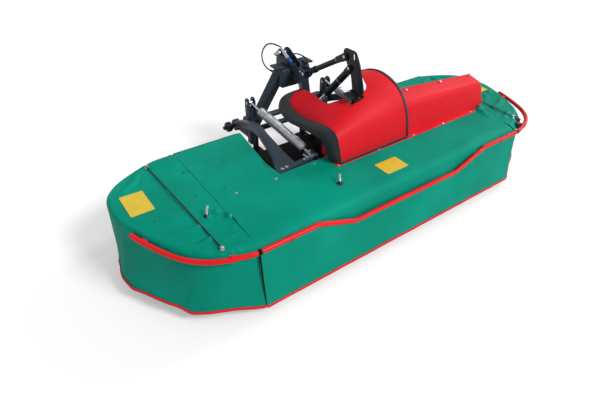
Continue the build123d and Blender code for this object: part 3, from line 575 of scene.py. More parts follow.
def slack(x, d):
    """How far the level canvas stands above or below its true height."""
    rise = ripple(0.0022, x * 2.3, d * 2.3, 0.5) + ripple(0.0010, x * 9, d * 5, 3.1)
    for px, pd in PUCKERS:
        away = math.hypot(x - px, d - pd)
        if away < 0.15:
            ray = math.cos(5 * math.atan2(d - pd, x - px) + 1)
            rise -= 0.0045 * math.exp(-(away / 0.022) ** 2)
            rise += 0.0022 * ray * math.exp(-((away - 0.045) / 0.035) ** 2)
    out = abs(x)
    for x0, d0, x1, d1, width, height in CREASES:
        run_x, run_d = x1 - x0, d1 - d0
        length = math.hypot(run_x, run_d)
        t = ((out - x0) * run_x + (d - d0) * run_d) / length ** 2
        if -0.2 < t < 1.2:
            off = ((out - x0) * run_d - (d - d0) * run_x) / length - 0.012 * math.sin(t * 5 + x0 * 9)
            fade = ease((t + 0.2) / 0.35) * ease((1.2 - t) / 0.35)
            slope = 1.7 if off > 0 else 0.75
            rise += 1.5 * height * fade * math.exp(-(off / width * slope) ** 2)
    if out > 1.24:
        rise += ripple(0.0045 * ease((out - 1.24) / 0.12), out * 4 + d * 3, d * 3 - out * 2, 7.7)
    return rise


def canvas(name, bm, body, stands_for, hem=None):
    """A canvas with its thickness, and a red welt sewn along its hem where it has one."""
    piece = finished(name, bm, CANVAS_GREEN, body, *stands_for, crease=60)
    if hem:
        hem_name, line = hem
        welt = sweep(bmesh.new(), path_of([p + UP * 0.009 for p in line]), rounded_section(0.008, 0.021, 0.00336))
        finished(hem_name, welt, TUBE_RED, body, crease=50)
    thicken(piece)


# From the join at the rear over the front rail to the lip: behind, and drop below the top
FRONT_SECTION = vectors([
    (400, 0), (340, 0), (280, 0), (220, 0), (165, 0), (120, -0.5), (88, -2.5), (62, -8), (43, -18),
    (30, -32), (24, -50),
])
LIP_D, LIP_DROP = 0.024, 0.050
LEVEL_SHARE = 0.62
TUBE_BEND_OUT, TUBE_BEND_IN = 0.796, 0.494


def tube_height(x):
    """Height of the front tube's middle, which hangs lower in the middle of the machine."""
    lowered = (TUBE_BEND_OUT - abs(x)) / (TUBE_BEND_OUT - TUBE_BEND_IN)
    return TUBE_Z - TUBE_DROP * min(max(lowered, 0.0), 1.0)


def front_canvas_place(u, v):
    x = (2 * u - 1) * SPLIT_X
    if v <= LEVEL_SHARE:
        d, drop = along(FRONT_SECTION, v / LEVEL_SHARE)
        z = TOP_Z + drop
    else:
        share = (v - LEVEL_SHARE) / (1 - LEVEL_SHARE)
        start = TOP_Z - LIP_DROP
        z = start + (tube_height(x) - 0.012 - start) * share
        d = LIP_D - 0.004 * ease(share * 3) + 0.0025 * ease((start - z - 0.012) / 0.006)
    rolled = ease((0.13 - d) / 0.06)
    wave = ripple(0.003, x * 6.0, 2.0, z * 4) + ripple(0.001, x * 17.0, 5.0, z * 9)
    return at(x, d + wave * rolled, z + slack(x, d) * (1 - rolled))


def front_canvas():
    size = (2.394, 0.63)
    bm = pour(bmesh.new(), grid(150, 46, front_canvas_place, size), closed=False)
    canvas("front_canvas", bm, "front_guard", ["front_fabric"])


def curtain_out(v):
    """How far the front curtain stands forward, from its top to its hem."""
    return HEM_OUT * v ** 1.15


def front_curtain_place(u, v):
    x = (2 * u - 1) * SPLIT_X
    top = tube_height(x) - 0.010
    z = top + (HEM_Z - top) * v
    wave = ripple(0.0035, x * 2.6, z, 1.0) + ripple(0.0016, x * 9.0, z * 1.5, 4.0)
    return at(x, curtain_out(v) + ease(v * 2) * wave, z)


def front_curtain():
    size = (2.394, 0.42)
    bm = pour(bmesh.new(), grid(150, 24, front_curtain_place, size), closed=False)
    hem = ("front_curtain_hem", [front_curtain_place(i / 150, 1.0) for i in range(151)])
    canvas("front_curtain_cloth", bm, "front_curtain", ["front_curtain"], hem)


# Stations round an end guard, from the split at the front to the fold line at the rear. Each gives the
# start of the roll, the place where the cloth tucks in behind the tube or rim, and the hem.
END_STATIONS = metres([
    # fold d, roll start X and d, tuck X and d, hem X, d and Z
    (118, 1209, 88, 1209, 21.5, 1211, -42, 55), (180, 1296, 110, 1284, 34, 1275, -15, 60),
    (250, 1380, 128, 1375, 60, 1400, 30, 85), (320, 1460, 168, 1480, 113, 1530, 90, 88),
    (390, 1520, 222, 1551, 179, 1610, 155, 77), (460, 1572, 290, 1608, 259, 1655, 220, 95),
    (540, 1622, 372, 1656, 355, 1715, 310, 100), (620, 1670, 455, 1697, 448, 1784, 433, 100),
    (700, 1712, 552, 1735, 550, 1838, 530, 100), (780, 1752, 660, 1777, 660, 1852, 665, 100),
    (860, 1768, 770, 1794, 770, 1835, 765, 100), (940, 1760, 872, 1788, 876, 1808, 868, 100),
    (1010, 1735, 966, 1763, 977, 1768, 975, 100), (1070, 1655, 1055, 1676, 1075, 1686, 1080, 100),
    (1120, 1530, 1125, 1548, 1150, 1562, 1160, 100), (1160, 1400, 1180, 1406, 1211, 1440, 1235, 100),
    (1185, 1300, 1192, 1300, 1226, 1325, 1240, 100), (1200, 1220, 1195, 1220, 1222, 1226, 1240, 100),
])
FRONT_FOLDS = {"right": [1.209, 1.2105], "left": [1.209, 1.275, 1.325]}
LEFT_SET_BACK = [0, 0.014, 0.033, 0.032, 0.026, 0.018, 0.010, 0.005]
LEFT_SET_IN = 0.025
TOP_ROWS, ROLL_ROWS, WALL_ROWS = 44, 14, 26
END_ROWS = TOP_ROWS + ROLL_ROWS + WALL_ROWS


def end_rails(name):
    """The lines that an end canvas is carried on, each a list of places from front to rear."""
    side = SIDES[name]
    inner, start, tuck, hem = rails = [], [], [], []
    for i, (fold_d, x1, d1, x3, d3, x4, d4, z4) in enumerate(END_STATIONS):
        near = FRONT_FOLDS[name][i] if i < len(FRONT_FOLDS[name]) else FOLD_X[name]
        if name == "left":
            x1, x3, x4 = (max(x - LEFT_SET_IN * ease((x - 1.32) / 0.25), near + 0.004) for x in (x1, x3, x4))
            back = LEFT_SET_BACK[i] if i < len(LEFT_SET_BACK) else 0
            d1, d3, d4 = d1 + back, d3 + back, d4 + back
        inner.append(at(side * near, fold_d, TOP_Z))
        start.append(at(side * max(x1, near), d1, TOP_Z))
        tuck.append(at(side * x3, d3, TUCK_Z))
        hem.append(at(side * x4, d4, z4))
    return rails


def end_canvas_place(name, rails, u, row):
    """Level from the fold line, rolled over the rim, then down to the hem in loose flutes."""
    inner, start, tuck, hem = (along(rail, u) for rail in rails)
    way = along(rails[2], min(u + 0.01, 1)) - along(rails[2], max(u - 0.01, 0))
    out = way.cross(UP).normalized() * -SIDES[name]
    if row <= TOP_ROWS:
        share = row / TOP_ROWS
        place = inner.lerp(start, share)
        place.z += slack(place.x, place.y - TUBE_Y) * ease((1 - share) * 5)
        return place
    if row <= TOP_ROWS + ROLL_ROWS:
        share = (row - TOP_ROWS) / ROLL_ROWS
        place = arc_between(start, Vector((tuck.x, tuck.y, TOP_Z - 0.001)), tuck, share)
        crumple = math.sin(share * math.pi) * ease(u * 14) * ease((1 - u) * 14)
        front_share = 0.4 + 0.6 * math.exp(-((u - 0.10) / 0.07) ** 2)
        puffs = ripple(0.0075 * front_share, u * 62, share * 1.6, 2.0) + ripple(0.0050, u * 20, share * 1.2, 9.0)
        return place + (out * 0.5 + UP) * crumple * puffs
    share = (row - TOP_ROWS - ROLL_ROWS) / WALL_ROWS
    knee = Vector((tuck.x, tuck.y, 0)).lerp(Vector((hem.x, hem.y, 0)), 0.25) + UP * 0.26
    loose = ease(share * 3) * ease(u * 20) * (0.35 + 0.65 * ease((u - 0.40) * 4))
    flutes = ripple(0.008, u * 24, share * 0.8, 6.0) + ripple(0.0025, u * 60, share * 1.3, 8.0)
    return arc_between(tuck, knee, hem, share) + out * loose * flutes


def end_canvas(name):
    rails, columns, size = end_rails(name), 200, (2.05, 0.80)
    part = grid(columns, END_ROWS, lambda u, v: end_canvas_place(name, rails, u, v * END_ROWS), size)
    bm = pour(bmesh.new(), part, closed=False)
    if name == "left":
        bmesh.ops.reverse_faces(bm, faces=bm.faces)
    line = [end_canvas_place(name, rails, i / columns, END_ROWS) for i in range(columns + 1)]
    canvas(
        f"end_canvas_{name}", bm, f"end_guard_{name}", [f"end_fabric_{name}", f"end_curtain_{name}"],
        (f"end_hem_{name}", line),
    )


def split_shade_strip(name):
    """A black strip on an end guard's front edge, painted shade that draws the shadowed gap at the split as a dark
    line where it laps behind the front canvas.
    """
    side, top_z = SIDES[name], 0.455

    def wall(u, v):
        return at(side * (1.180 + 0.034 * u), curtain_out(v) + 0.009, top_z + (HEM_Z + 0.006 - top_z) * v)

    def top(u, v):
        d, drop = along(FRONT_SECTION[1:], v)
        return at(side * (1.188 + 0.030 * u), d + 0.006 * v, TOP_Z + drop - 0.006)

    bm = pour(bmesh.new(), grid(1, 20, wall), closed=False)
    pour(bm, grid(1, 30, top), closed=False)
    thicken(finished(f"split_shade_strip_{name}", bm, RUBBER, f"end_guard_{name}"))


# The edge of the cut-out round the right lift arm: behind, X
NOTCH = metres([(0, -712), (545, -712), (725, -720), (1210, -652), (1300, -650)])
NOTCH_FRONT = 0.548


def notch_edge(d):
    for (d0, x0), (d1, x1) in zip(NOTCH, NOTCH[1:]):
        if d <= d1:
            return x0 + (x1 - x0) * (d - d0) / (d1 - d0)


def deck_rear(d, z, v):
    """Turns the last of the deck's cloth down over the rear rail."""
    over = (v - 0.96) / 0.04
    if over <= 0:
        return d, z
    return DECK_REAR + 0.012 * math.sin(over * math.pi / 2), z - 0.035 * over * over


def deck_canvas_right():
    """The right half of the deck cloth, cut away round the lift arm and spring."""
    columns, rows = 60, 54
    split_u, split_v = 2 / 3, 10 / rows
    outer, inner = -(FOLD_X["right"] - 0.003), -0.318

    def place(u, v):
        if v <= split_v:
            d = FRONT_JOIN + (NOTCH_FRONT - FRONT_JOIN) * v / split_v
        else:
            d = NOTCH_FRONT + (DECK_REAR - NOTCH_FRONT) * (v - split_v) / (1 - split_v)
        edge = notch_edge(min(d, DECK_REAR))
        if u <= split_u:
            x = outer + (edge - outer) * u / split_u
        else:
            x = edge + (inner - edge) * (u - split_u) / (1 - split_u)
        d, z = deck_rear(d, TOP_Z + slack(x, d), v)
        sag = 0.006 * math.exp(-((x - edge) / 0.03) ** 2) * ease((d - 0.56) / 0.1)
        return at(x, d, z - sag)

    part = grid(columns, rows, place, (0.894, 0.84))
    gone = []
    for face in part.faces:
        centre = face.calc_center_median()
        d = centre.y - TUBE_Y
        if d > NOTCH_FRONT and centre.x > notch_edge(min(d, DECK_REAR + 0.05)):
            gone.append(face)
    bmesh.ops.delete(part, geom=gone, context="FACES")
    canvas(
        "deck_canvas_right", pour(bmesh.new(), part, closed=False), "mower", ["deck_fabric_right"],
    )


def deck_canvas_left():
    """The left half, with the corner in front of it that fills up to the end guard's fold line."""
    outer, inner = FOLD_X["left"] - 0.003, 0.355

    def place(u, v):
        x, d = inner + (outer - inner) * u, FRONT_JOIN + (DECK_REAR - FRONT_JOIN) * v
        return at(x, *deck_rear(d, TOP_Z + slack(x, d), v))

    def corner(u, v):
        x, front = SPLIT_X + (outer - SPLIT_X) * u, 0.128 + 0.075 * ease(u)
        d = FRONT_JOIN + (front - FRONT_JOIN) * (1 - v)
        return at(x, d, TOP_Z + slack(x, d))

    bm = pour(bmesh.new(), grid(60, 50, place, (0.995, 0.85)), closed=False)
    pour(bm, grid(10, 16, corner, (0.147, 0.28)), closed=False)
    canvas(
        "deck_canvas_left", bm, "mower", ["deck_fabric_left"],
    )


front_canvas()
front_curtain()
for name in SIDES:
    end_canvas(name)
deck_canvas_right()
deck_canvas_left()
# Black strips at the splits: painted shade for the gaps there.
for name in SIDES:
    split_shade_strip(name)


# ---------------------------------------------------------------- hood
# Sections from the front foot over to the rear edge: the red shell's near and far ends, and the
# outer edge of the dark end band
HOOD_NEAR = vectors([
    (-300, 404, 530), (-302, 410, 580), (-302, 430, 645), (-302, 456, 702), (-302, 500, 734),
    (-302, 588, 735), (-302, 699, 717), (-302, 815, 695), (-302, 930, 693), (-300, 1020, 714),
    (-280, 1062, 756), (-229, 1070, 795), (-163, 1054, 819),
])
HOOD_FAR = vectors([(362, d, z) for d, z in (
    (405, 530), (414, 585), (428, 650), (447, 712), (478, 776), (530, 842), (610, 892), (710, 921),
    (800, 926), (890, 907), (965, 874), (1045, 836), (1120, 800),
)])
HOOD_EDGE = vectors([
    (-310, 445, 517), (-342, 466, 530), (-345, 508, 562), (-345, 545, 610), (-345, 596, 645),
    (-345, 680, 645), (-345, 780, 632), (-345, 881, 622), (-345, 985, 612), (-345, 1080, 634),
    (-341, 1132, 688), (-297, 1127, 755), (-163, 1060, 815),
])
# The opening round the mast and top links, with a narrow slot for the mast's foot: X, behind
HOOD_OPENING = [
    (-158, 1300), (-158, 1040), (-152, 930), (-162, 860), (-168, 800), (-160, 750), (-135, 715),
    (-100, 700), (-60, 692), (-62, 600), (58, 600), (68, 645), (118, 656), (152, 690), (170, 735),
    (200, 790), (245, 845), (262, 900), (262, 1300),
]


def hood_place(u, v):
    near, far = along(HOOD_NEAR, v), along(HOOD_FAR, v)
    place = near.lerp(far, math.sin(math.pi / 2 * u) ** 0.6)
    place.x = near.x + (far.x - near.x) * u
    return at(*place)


def hood():
    piece = finished("hood_shell", shelled(grid(72, 72, hood_place), 0.0035), HOOD_RED, "mower", "hood")
    cutter = lying_plate(bmesh.new(), [(x, d, 600) for x, d in HOOD_OPENING], 0.6, 0)
    carved(piece, cutter, 40)


def hood_band_place(u, v):
    near, edge = along(HOOD_NEAR, u), along(HOOD_EDGE, u)
    corner = Vector((edge.x - 0.012, (near.y + edge.y) / 2, near.z + 0.004))
    if u < 0.33:
        corner = Vector((edge.x - 0.008, near.y * 0.75 + edge.y * 0.25 - 0.004, near.z * 0.6 + edge.z * 0.4))
    return at(*arc_between(near + UP * 0.003, corner, edge, v))


def hood_band():
    """The dark moulded end of the hood, and its trim along the red shell's edges."""
    bm = shelled(grid(96, 14, hood_band_place), 0.006)
    round_wire(bm, [at(*(p + UP * 0.002)) for p in resampled(HOOD_NEAR, 60)], 0.0045, 8)
    far = [at(*(p + X_WAY * 0.004)) for p in resampled(HOOD_FAR, 60)]
    trim = []
    for i, place in enumerate(far):
        way = far[min(i + 1, 60)] - far[max(i - 1, 0)]
        trim.append((place, X_WAY, way.cross(X_WAY).normalized()))
    sweep(bm, trim, rounded_section(0.022, 0.012, 0.004))
    foot = [spot(-300, 403.5, 527), spot(0, 403.5, 527), spot(330, 403.5, 527), spot(355, 405, 531)]
    sweep(bm, path_of(resampled(foot, 24)), rounded_section(0.012, 0.022, 0.005))
    finished("hood_band", bm, SATIN_BLACK, "mower", "hood_end")


def hood_fittings():
    """The flange and inner end plate, then the flap over the slot and a black sheet under the opening that paints the
    shade inside the hood.
    """
    bm = bmesh.new()
    plate_at(bm, -316, -312, [(410, 516.5), (600, 516.5), (600, 655), (500, 690), (440, 650)], 0.001)
    block(bm, (-336, 388, 516.5), (1190, 436, 520.5), 0.0012)
    finished("hood_flange", bm, HOOD_RED, "mower", crease=35)
    bm = bmesh.new()
    lying_plate(bm, [(-84, 602, 874), (54, 596, 890), (54, 672, 904), (-84, 680, 890)], 0.004, 0.001)
    # A black sheet under the opening: painted shade for the dark inside of the hood.
    lying_plate(bm, [(-150, 700, 660), (200, 700, 660), (200, 1000, 640), (-150, 1000, 640)], 0.004, 0.001)
    finished("hood_flap_and_shade_sheet", bm, SATIN_BLACK, "mower")


COVER_NEAR_X = 0.366
COVER_NEAR = metres([(424, 516.5), (484, 768), (652, 836), (668, 516.5)])
COVER_FAR = metres([(424, 516.5), (488, 710), (652, 748), (668, 516.5)])
BACK_CUT_X, BACK_CUT_Z, BACK_D = 0.729, 0.576, 0.6


def drive_cover():
    """The folded cover over the drive to the left-hand end, open underneath, its back cut away near the hood."""
    part = bmesh.new()
    far_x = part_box("drive_cover")[1].x
    first = [part.verts.new(at(COVER_NEAR_X, d, z)) for d, z in COVER_NEAR]
    last = [part.verts.new(at(far_x, d, z)) for d, z in COVER_FAR]
    for i in range(3):
        part.faces.new((first[i], first[i + 1], last[i + 1], last[i]))
    part.faces.new(last)
    bmesh.ops.recalc_face_normals(part, faces=part.faces)
    long_edges = [part.edges.get((first[i], last[i])) for i in (1, 2)]
    bevel = {"affect": "EDGES", "profile": 0.5, "material": -1}
    bmesh.ops.bevel(part, geom=long_edges, offset=0.040, segments=8, **bevel)
    end_edges = [
        e for e in part.edges if len(e.link_faces) == 2 and all(abs(v.co.x - far_x) < 1e-4 for v in e.verts)
    ]
    bmesh.ops.bevel(part, geom=end_edges, offset=0.005, segments=3, **bevel)
    for plane, normal in ((at(BACK_CUT_X, 0, 0), X_WAY), (at(0, 0, BACK_CUT_Z), UP)):
        everything = part.verts[:] + part.edges[:] + part.faces[:]
        bmesh.ops.bisect_plane(part, geom=everything, plane_co=plane, plane_no=normal)
    gone = []
    for face in part.faces:
        middle = face.calc_center_median()
        if middle.x < BACK_CUT_X and middle.z < BACK_CUT_Z and middle.y - TUBE_Y > BACK_D:
            gone.append(face)
    bmesh.ops.delete(part, geom=gone, context="FACES")
    finished("drive_cover_shell", shelled(part, 0.003), HOOD_RED, "mower", "drive_cover", crease=30)


def cover_screws():
    bm = bmesh.new()
    for x in (-318, 66, 436, 777, 1133):
        screw(bm, spot(x, 403, 520.5))
    for place in ((500, 600, 808), (900, 600, 782.5), (1290, 605, 756.5)):
        screw(bm, spot(*place), (0, -0.3, 1))
    for x, d in PUCKERS:
        screw(bm, at(x, d, TOP_Z - 0.004))
    finished("deck_screws", bm, ZINC, "mower")


hood()
hood_band()
hood_fittings()
drive_cover()
cover_screws()


# ---------------------------------------------------------------- guards' fittings
END_TUBE = [p.to_3d() for p in vectors([
    (1221.6, 0.5), (1262, 7), (1300, 18), (1375, 40), (1440, 68), (1500, 105), (1560, 160),
    (1611, 226), (1656, 308), (1697, 398), (1728, 475), (1751, 545),
])]
SLEEVE_R = TUBE_R + 0.0012


def tube_place(name, t, inward=0.0, z=TUBE_Z):
    """A place along an end guard's tube, from its front end to its rear end."""
    place = along(END_TUBE, t)
    way = along(END_TUBE, min(t + 0.01, 1)) - along(END_TUBE, max(t - 0.01, 0))
    place += Vector((-way.y, way.x, 0)).normalized() * inward
    return at(SIDES[name] * place.x, place.y, z)


def end_tube(name):
    bm = round_wire(bmesh.new(), [tube_place(name, i / 72) for i in range(73)], TUBE_R, 24)
    finished(f"end_tube_{name}_bent", bm, TUBE_RED, f"end_guard_{name}", f"end_tube_{name}", crease=50)


def tube_joints():
    """Sleeves at the splits, and the red clamps and brackets that hold the end tubes to the rim."""
    for name in SIDES:
        body = f"end_guard_{name}"
        bm = round_bar(bmesh.new(), tube_place(name, 0), tube_place(name, 0.008), SLEEVE_R, 0.001)
        finished(f"tube_sleeve_{name}", bm, RUBBER, body)
        bm = round_bar(bmesh.new(), tube_place(name, 0.235), tube_place(name, 0.275), TUBE_R + 0.0025, 0.002)
        for t in (0.255, 0.88):
            root, tip = tube_place(name, t, 0.008, TUBE_Z + 0.004), tube_place(name, t, 0.075, TUBE_Z - 0.006)
            half = (tube_place(name, t + 0.02) - tube_place(name, t - 0.02)).normalized() * 0.020
            slab(bm, [root - half, root + half, tip + half, tip - half], UP * 0.006, 0.0015)
        finished(f"tube_clamps_{name}", bm, TUBE_RED, body)
    bm = bmesh.new()
    for side in SIDES.values():
        round_bar(bm, at(side * 1.200, 0, TUBE_Z), at(side * 1.2075, 0, TUBE_Z), SLEEVE_R, 0.001)
    finished("tube_sleeves_front", bm, RUBBER, "front_guard")


def tucked_frame(node, body, middle, tuck):
    """A copy of a guard's frame, drawn in and lowered so that it stays under its canvas."""
    bm = bmesh.new()
    bm.from_mesh(frame["nodes"][node].data)
    for vert in bm.verts:
        draw_in, lower = tuck(vert.co)
        vert.co.xy = middle.xy + (vert.co.xy - middle.xy) * draw_in
        vert.co.z -= lower
    finished(node + "_rails", bm, ANTHRACITE, body, node, crease=35)


def guard_frames():
    for name, side in SIDES.items():
        hinge = FOLD_X[name] + 0.05
        tucked_frame(f"end_frame_{name}", f"end_guard_{name}", at(side * 1.40, 0.70, 0),
                     lambda co: (0.86, 0.007) if abs(co.x) > hinge else (1.0, 0.0))
    tucked_frame("front_frame", "front_guard", at(0, 0.2, 0),
                 lambda co: (1.0, 0.034 if co.y < TUBE_Y + 0.05 else 0.002))


STRAP_ENDS = {
    "right": vectors([(1433, 1137), (1385, 110)]),
    "left": vectors([(1420, 1122), (1350, 140)]),
}
KNOB = [(0, 0), (13, 0), (13, 2), (6, 3), (6, 12), (10, 13), (12.5, 17), (11.5, 22), (7, 24.5), (0, 25)]


def strap(name):
    """The black stay strap over an end guard, held by a knob at each end."""
    rear, front = STRAP_ENDS[name]
    line = []
    for i in range(31):
        x, d = rear.lerp(front, i / 30)
        line.append(at(SIDES[name] * x, d, TOP_Z + 0.009 + 0.003 * math.sin(math.pi * i / 30)))
    bm = sweep(bmesh.new(), path_of(line), rounded_section(0.009, 0.005, 0.0024))
    finished(f"stay_strap_{name}", bm, STRAP_BLACK, f"end_guard_{name}")
    bm = bmesh.new()
    for place in (line[0], line[-1]):
        turned(bm, Vector((place.x, place.y, TOP_Z - 0.001)), UP, KNOB)
    finished(f"strap_knobs_{name}", bm, ZINC, f"end_guard_{name}")


def latch(name, x, d, body, node):
    """A cranked lever on a moulded base."""
    seat = TOP_Z * 1000 + 1
    bm = turned(bmesh.new(), spot(x, d, seat), UP, [(0, 0), (21, 0), (22, 3), (17, 9), (11, 12), (0, 13)])
    block(bm, (x - 16, d - 7, seat), (x + 16, d + 7, seat + 18), 0.003)
    finished(f"{name}_base", bm, RUBBER, body, node)
    bends = ((-2, 0, 12), (0, 0, 22), (6, 10, 32), (16, 24, 40), (28, 40, 45))
    line = [spot(x + across_by, d + behind_by, seat + up_by) for across_by, behind_by, up_by in bends]
    bm = sweep(bmesh.new(), path_of(resampled(line, 16)), rounded_section(0.014, 0.005, 0.002))
    finished(f"{name}_lever", bm, ZINC, body)


END_EYELETS = metres([(1300, 640), (1520, 830), (1395, 330), (1600, 560)])
DECK_EYELETS = metres([(-950, 930), (-1100, 620), (-620, 470), (950, 950)])


def eyelets(name, body, places):
    bm = bmesh.new()
    for x, d in places:
        turned(bm, at(x, d, TOP_Z - 0.002 + slack(x, d)), UP, [(3, 1), (5, 3.5), (8, 3), (10, 1)], 16)
    finished(f"eyelets_{name}", bm, RUBBER, body)


MARKER_BODY = {"right": "end_guard_right", "left": "end_guard_left", "middle": "front_guard"}
MARKER_SHIFT = {"left": Vector((-0.045, -0.055, 0))}


def marker_plate(name):
    """A blank yellow plate that follows the canvas under it."""
    node = f"marker_plate_{name}"
    low, high = (corner + MARKER_SHIFT.get(name, Vector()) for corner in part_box(node))
    part = bmesh.new()
    corners = [(low.x, low.y), (high.x, low.y), (high.x, high.y), (low.x, high.y)]
    face = part.faces.new([part.verts.new((x, y, TOP_Z + 0.0005)) for x, y in corners])
    bmesh.ops.bevel(part, geom=list(face.verts), offset=0.008, affect="VERTICES", segments=5, profile=0.5, material=-1)
    bmesh.ops.inset_region(part, faces=part.faces[:], thickness=0.004)
    pushed_out(part, UP * 0.0012)
    for vert in part.verts:
        vert.co.z += slack(vert.co.x, vert.co.y - TUBE_Y) * 0.6 + 0.0016
    finished(node + "_sheet", pour(bmesh.new(), part), YELLOW, MARKER_BODY[name], node, crease=30)


for name in SIDES:
    end_tube(name)
tube_joints()
guard_frames()
for name in SIDES:
    strap(name)
latch("end_latch", -1327, 416, "end_guard_right", "end_latch_right")
latch("middle_latch", -451, 226, "front_guard", "front_latch")
for name, side in SIDES.items():
    eyelets(name, f"end_guard_{name}", [(side * x, d) for x, d in END_EYELETS])
eyelets("deck", "mower", DECK_EYELETS)
for name in MARKER_BODY:
    marker_plate(name)


# ---------------------------------------------------------------- mast, links and cylinder
def hinge_of(joint):
    """The place on a joint's axis in the middle of the machine."""
    return Vector((0, pivot[joint].y, pivot[joint].z))


def rod(bm, a, b, radius, steps=28):
    """A plain round rod with square ends."""
    length = (b - a).length
    return spun(bm, a, b - a, [(0, 0), (radius, 0), (radius, length), (0, length)], steps)


link_front, cylinder_front = hinge_of("upper_link_swing"), hinge_of("cylinder_swing")
link_rear, cylinder_rear = spot(0, 1229, 847), spot(0, 1165, 545)
# place, half width over the pin, pin radius
MAST_PINS = ((link_front, 0.0325, 0.014), (cylinder_front, 0.0335, 0.013), (spot(0, 672, 900), 0.026, 0.010))
MAST_X = (-14, -2)
MAST = [
    (600, 513.7), (655, 513.7), (655, 860), (658, 903), (678, 982), (690, 1020), (722, 1038),
    (730, 1068), (745, 1094), (771, 1110), (782, 1136), (780, 1165), (772, 1179), (755, 1186),
    (668, 1186), (650, 1177), (636, 1158), (606, 1107), (580, 1040), (558, 977), (546, 934),
    (556, 908), (594, 880),
]
MAST_FOOT = [(500, 513.7), (660, 513.7), (655, 640), (600, 760), (560, 760), (500, 600)]
SLOT_PLACE, SLOT_HALF, SLOT_R, SLOT_LEAN = (670, 1146), 14, 11, 0.2


def mast():
    """The one thick plate that the links fork over, on a post that stands on the beam."""
    piece = finished("mast_plate", plate_at(bmesh.new(), *MAST_X, MAST), MAST_BLACK, "mower", "mast", crease=35)
    outline = []
    for k in range(16):
        angle = math.tau * (k + 0.5) / 16
        end = SLOT_HALF if math.sin(angle) > 0 else -SLOT_HALF
        outline.append((SLOT_PLACE[0] + SLOT_LEAN * end + SLOT_R * math.cos(angle),
                        SLOT_PLACE[1] + end + SLOT_R * math.sin(angle)))
    carved(piece, plate_at(bmesh.new(), -100, 100, outline, 0), 35)
    bm = bmesh.new()
    for x0, x1 in ((-40, -28), (28, 40)):
        plate_at(bm, x0, x1, MAST_FOOT)
    block(bm, (-40, 560, 690), (40, 620, 715))
    block(bm, (-28, 596, 840), (28, 664, 862))
    for place, half, radius in MAST_PINS:
        across(bm, place, half, radius)
    finished("mast_foot", bm, MAST_BLACK, "mower")
    bm = bmesh.new()
    for face in (-1, 1):
        for place, half, _ in MAST_PINS:
            screw(bm, place + X_WAY * face * half, X_WAY * face)
        for d, z in ((530, 560), (620, 560), (590, 640)):
            screw(bm, spot(face * 40, d, z), X_WAY * face, 0.010)
    finished("mast_bolts", bm, ZINC, "mower")


def fork_cheeks(bm, centre, way, back, reach, half, inner, thick=0.007):
    """Two cheeks either side of a plate, along a link, with rounded ends at the pin."""
    up = way.cross(X_WAY).normalized()
    outline = [centre + way * reach + up * half * 0.9, centre + way * reach - up * half * 0.9]
    for k in range(9):
        angle = math.pi * k / 8
        outline.append(centre - way * back * math.sin(angle) - up * half * math.cos(angle))
    for face in (-1, 1):
        slab(bm, [p + X_WAY * face * inner for p in outline], X_WAY * face * thick, 0.0015)


def upper_link():
    way = (link_rear - link_front).normalized()
    bm = rod(bmesh.new(), link_front + way * 0.100, link_rear - way * 0.070, 0.021)
    turned(bm, link_rear - way * 0.150, way, [(0, 0), (24, 0), (27, 4), (27, 30), (22, 40), (0, 42)])
    turned(bm, link_rear - way * 0.092, way, [(0, 0), (20, 0), (25, 6), (25, 30), (18, 42), (18, 74), (0, 74)])
    across(bm, link_rear, 0.026, 0.027, 0.003)
    fork_cheeks(bm, link_front, way, 0.024, 0.105, 0.027, 0.0205)
    finished("upper_link_tube", bm, MAST_BLACK, "upper_link", "upper_link")
    bm = bmesh.new()
    turned(bm, link_front + way * 0.036, way, [(0, 0), (17.5, 0), (19.5, 3), (19.5, 60), (17.5, 66), (0, 66)])
    turned(bm, link_front + way * 0.100, way, [(0, 0), (24.5, 0), (25.5, 2), (25.5, 14), (24.5, 16), (0, 16)], 6)
    finished("upper_link_fork", bm, ZINC, "upper_link")


BARREL = [
    (0, 0), (24, 0), (27.5, 4), (27.5, 120), (28.5, 121), (28.5, 127), (27.5, 128), (27.5, 296),
    (30.5, 298), (30.5, 326), (27, 330), (27, 338), (16, 340), (0, 340),
]


def lift_cylinder():
    way = (cylinder_rear - cylinder_front).normalized()
    bm = turned(bmesh.new(), cylinder_front + way * 0.052, way, BARREL, 32)
    for reach, offset in ((0.085, (-0.010, -0.020, 0.016)), (0.330, (-0.010, -0.022, 0.018))):
        port = cylinder_front + way * reach + Vector(offset)
        rod(bm, port, port + Vector((0, -0.7, 0.7)).normalized() * 0.014, 0.010, 6)
    fork_cheeks(bm, cylinder_front, way, 0.020, 0.058, 0.023, 0.0215)
    finished("lift_cylinder_barrel", bm, MAST_BLACK, "cylinder_barrel", "cylinder_barrel")
    bm = bmesh.new()
    turned(bm, cylinder_front + way * 0.026, way, [(0, 0), (18.5, 0), (20.5, 3), (20.5, 26), (0, 28)])
    for reach in (0.172, 0.348):
        turned(bm, cylinder_front + way * reach, way, [(27, 0), (29.3, 1.5), (29.3, 4.5), (27, 6)], 32)
    finished("lift_cylinder_eye", bm, ZINC, "cylinder_barrel")
    bm = rod(bmesh.new(), cylinder_front + way * 0.300, cylinder_front + way * 0.630, 0.014)
    finished("lift_cylinder_rod", bm, CHROME, "cylinder_rod", "cylinder_rod")
    bm = bmesh.new()
    turned(bm, cylinder_rear - way * 0.062, way, [(0, 0), (19, 0), (20, 3), (20, 46), (0, 50)])
    across(bm, cylinder_rear, 0.025, 0.021, 0.003)
    finished("lift_cylinder_rod_eye", bm, MAST_BLACK, "cylinder_rod")


mast()
upper_link()
lift_cylinder()


# ---------------------------------------------------------------- float springs and lift arms
COIL_R, WIRE_R = 0.038, 0.0043
COIL_START, COIL_END = 0.050, 0.655
COIL_TURNS, STEPS_PER_TURN = 56, 18
SPRING_X, SPRING_TOP = 398, (1478, 598)


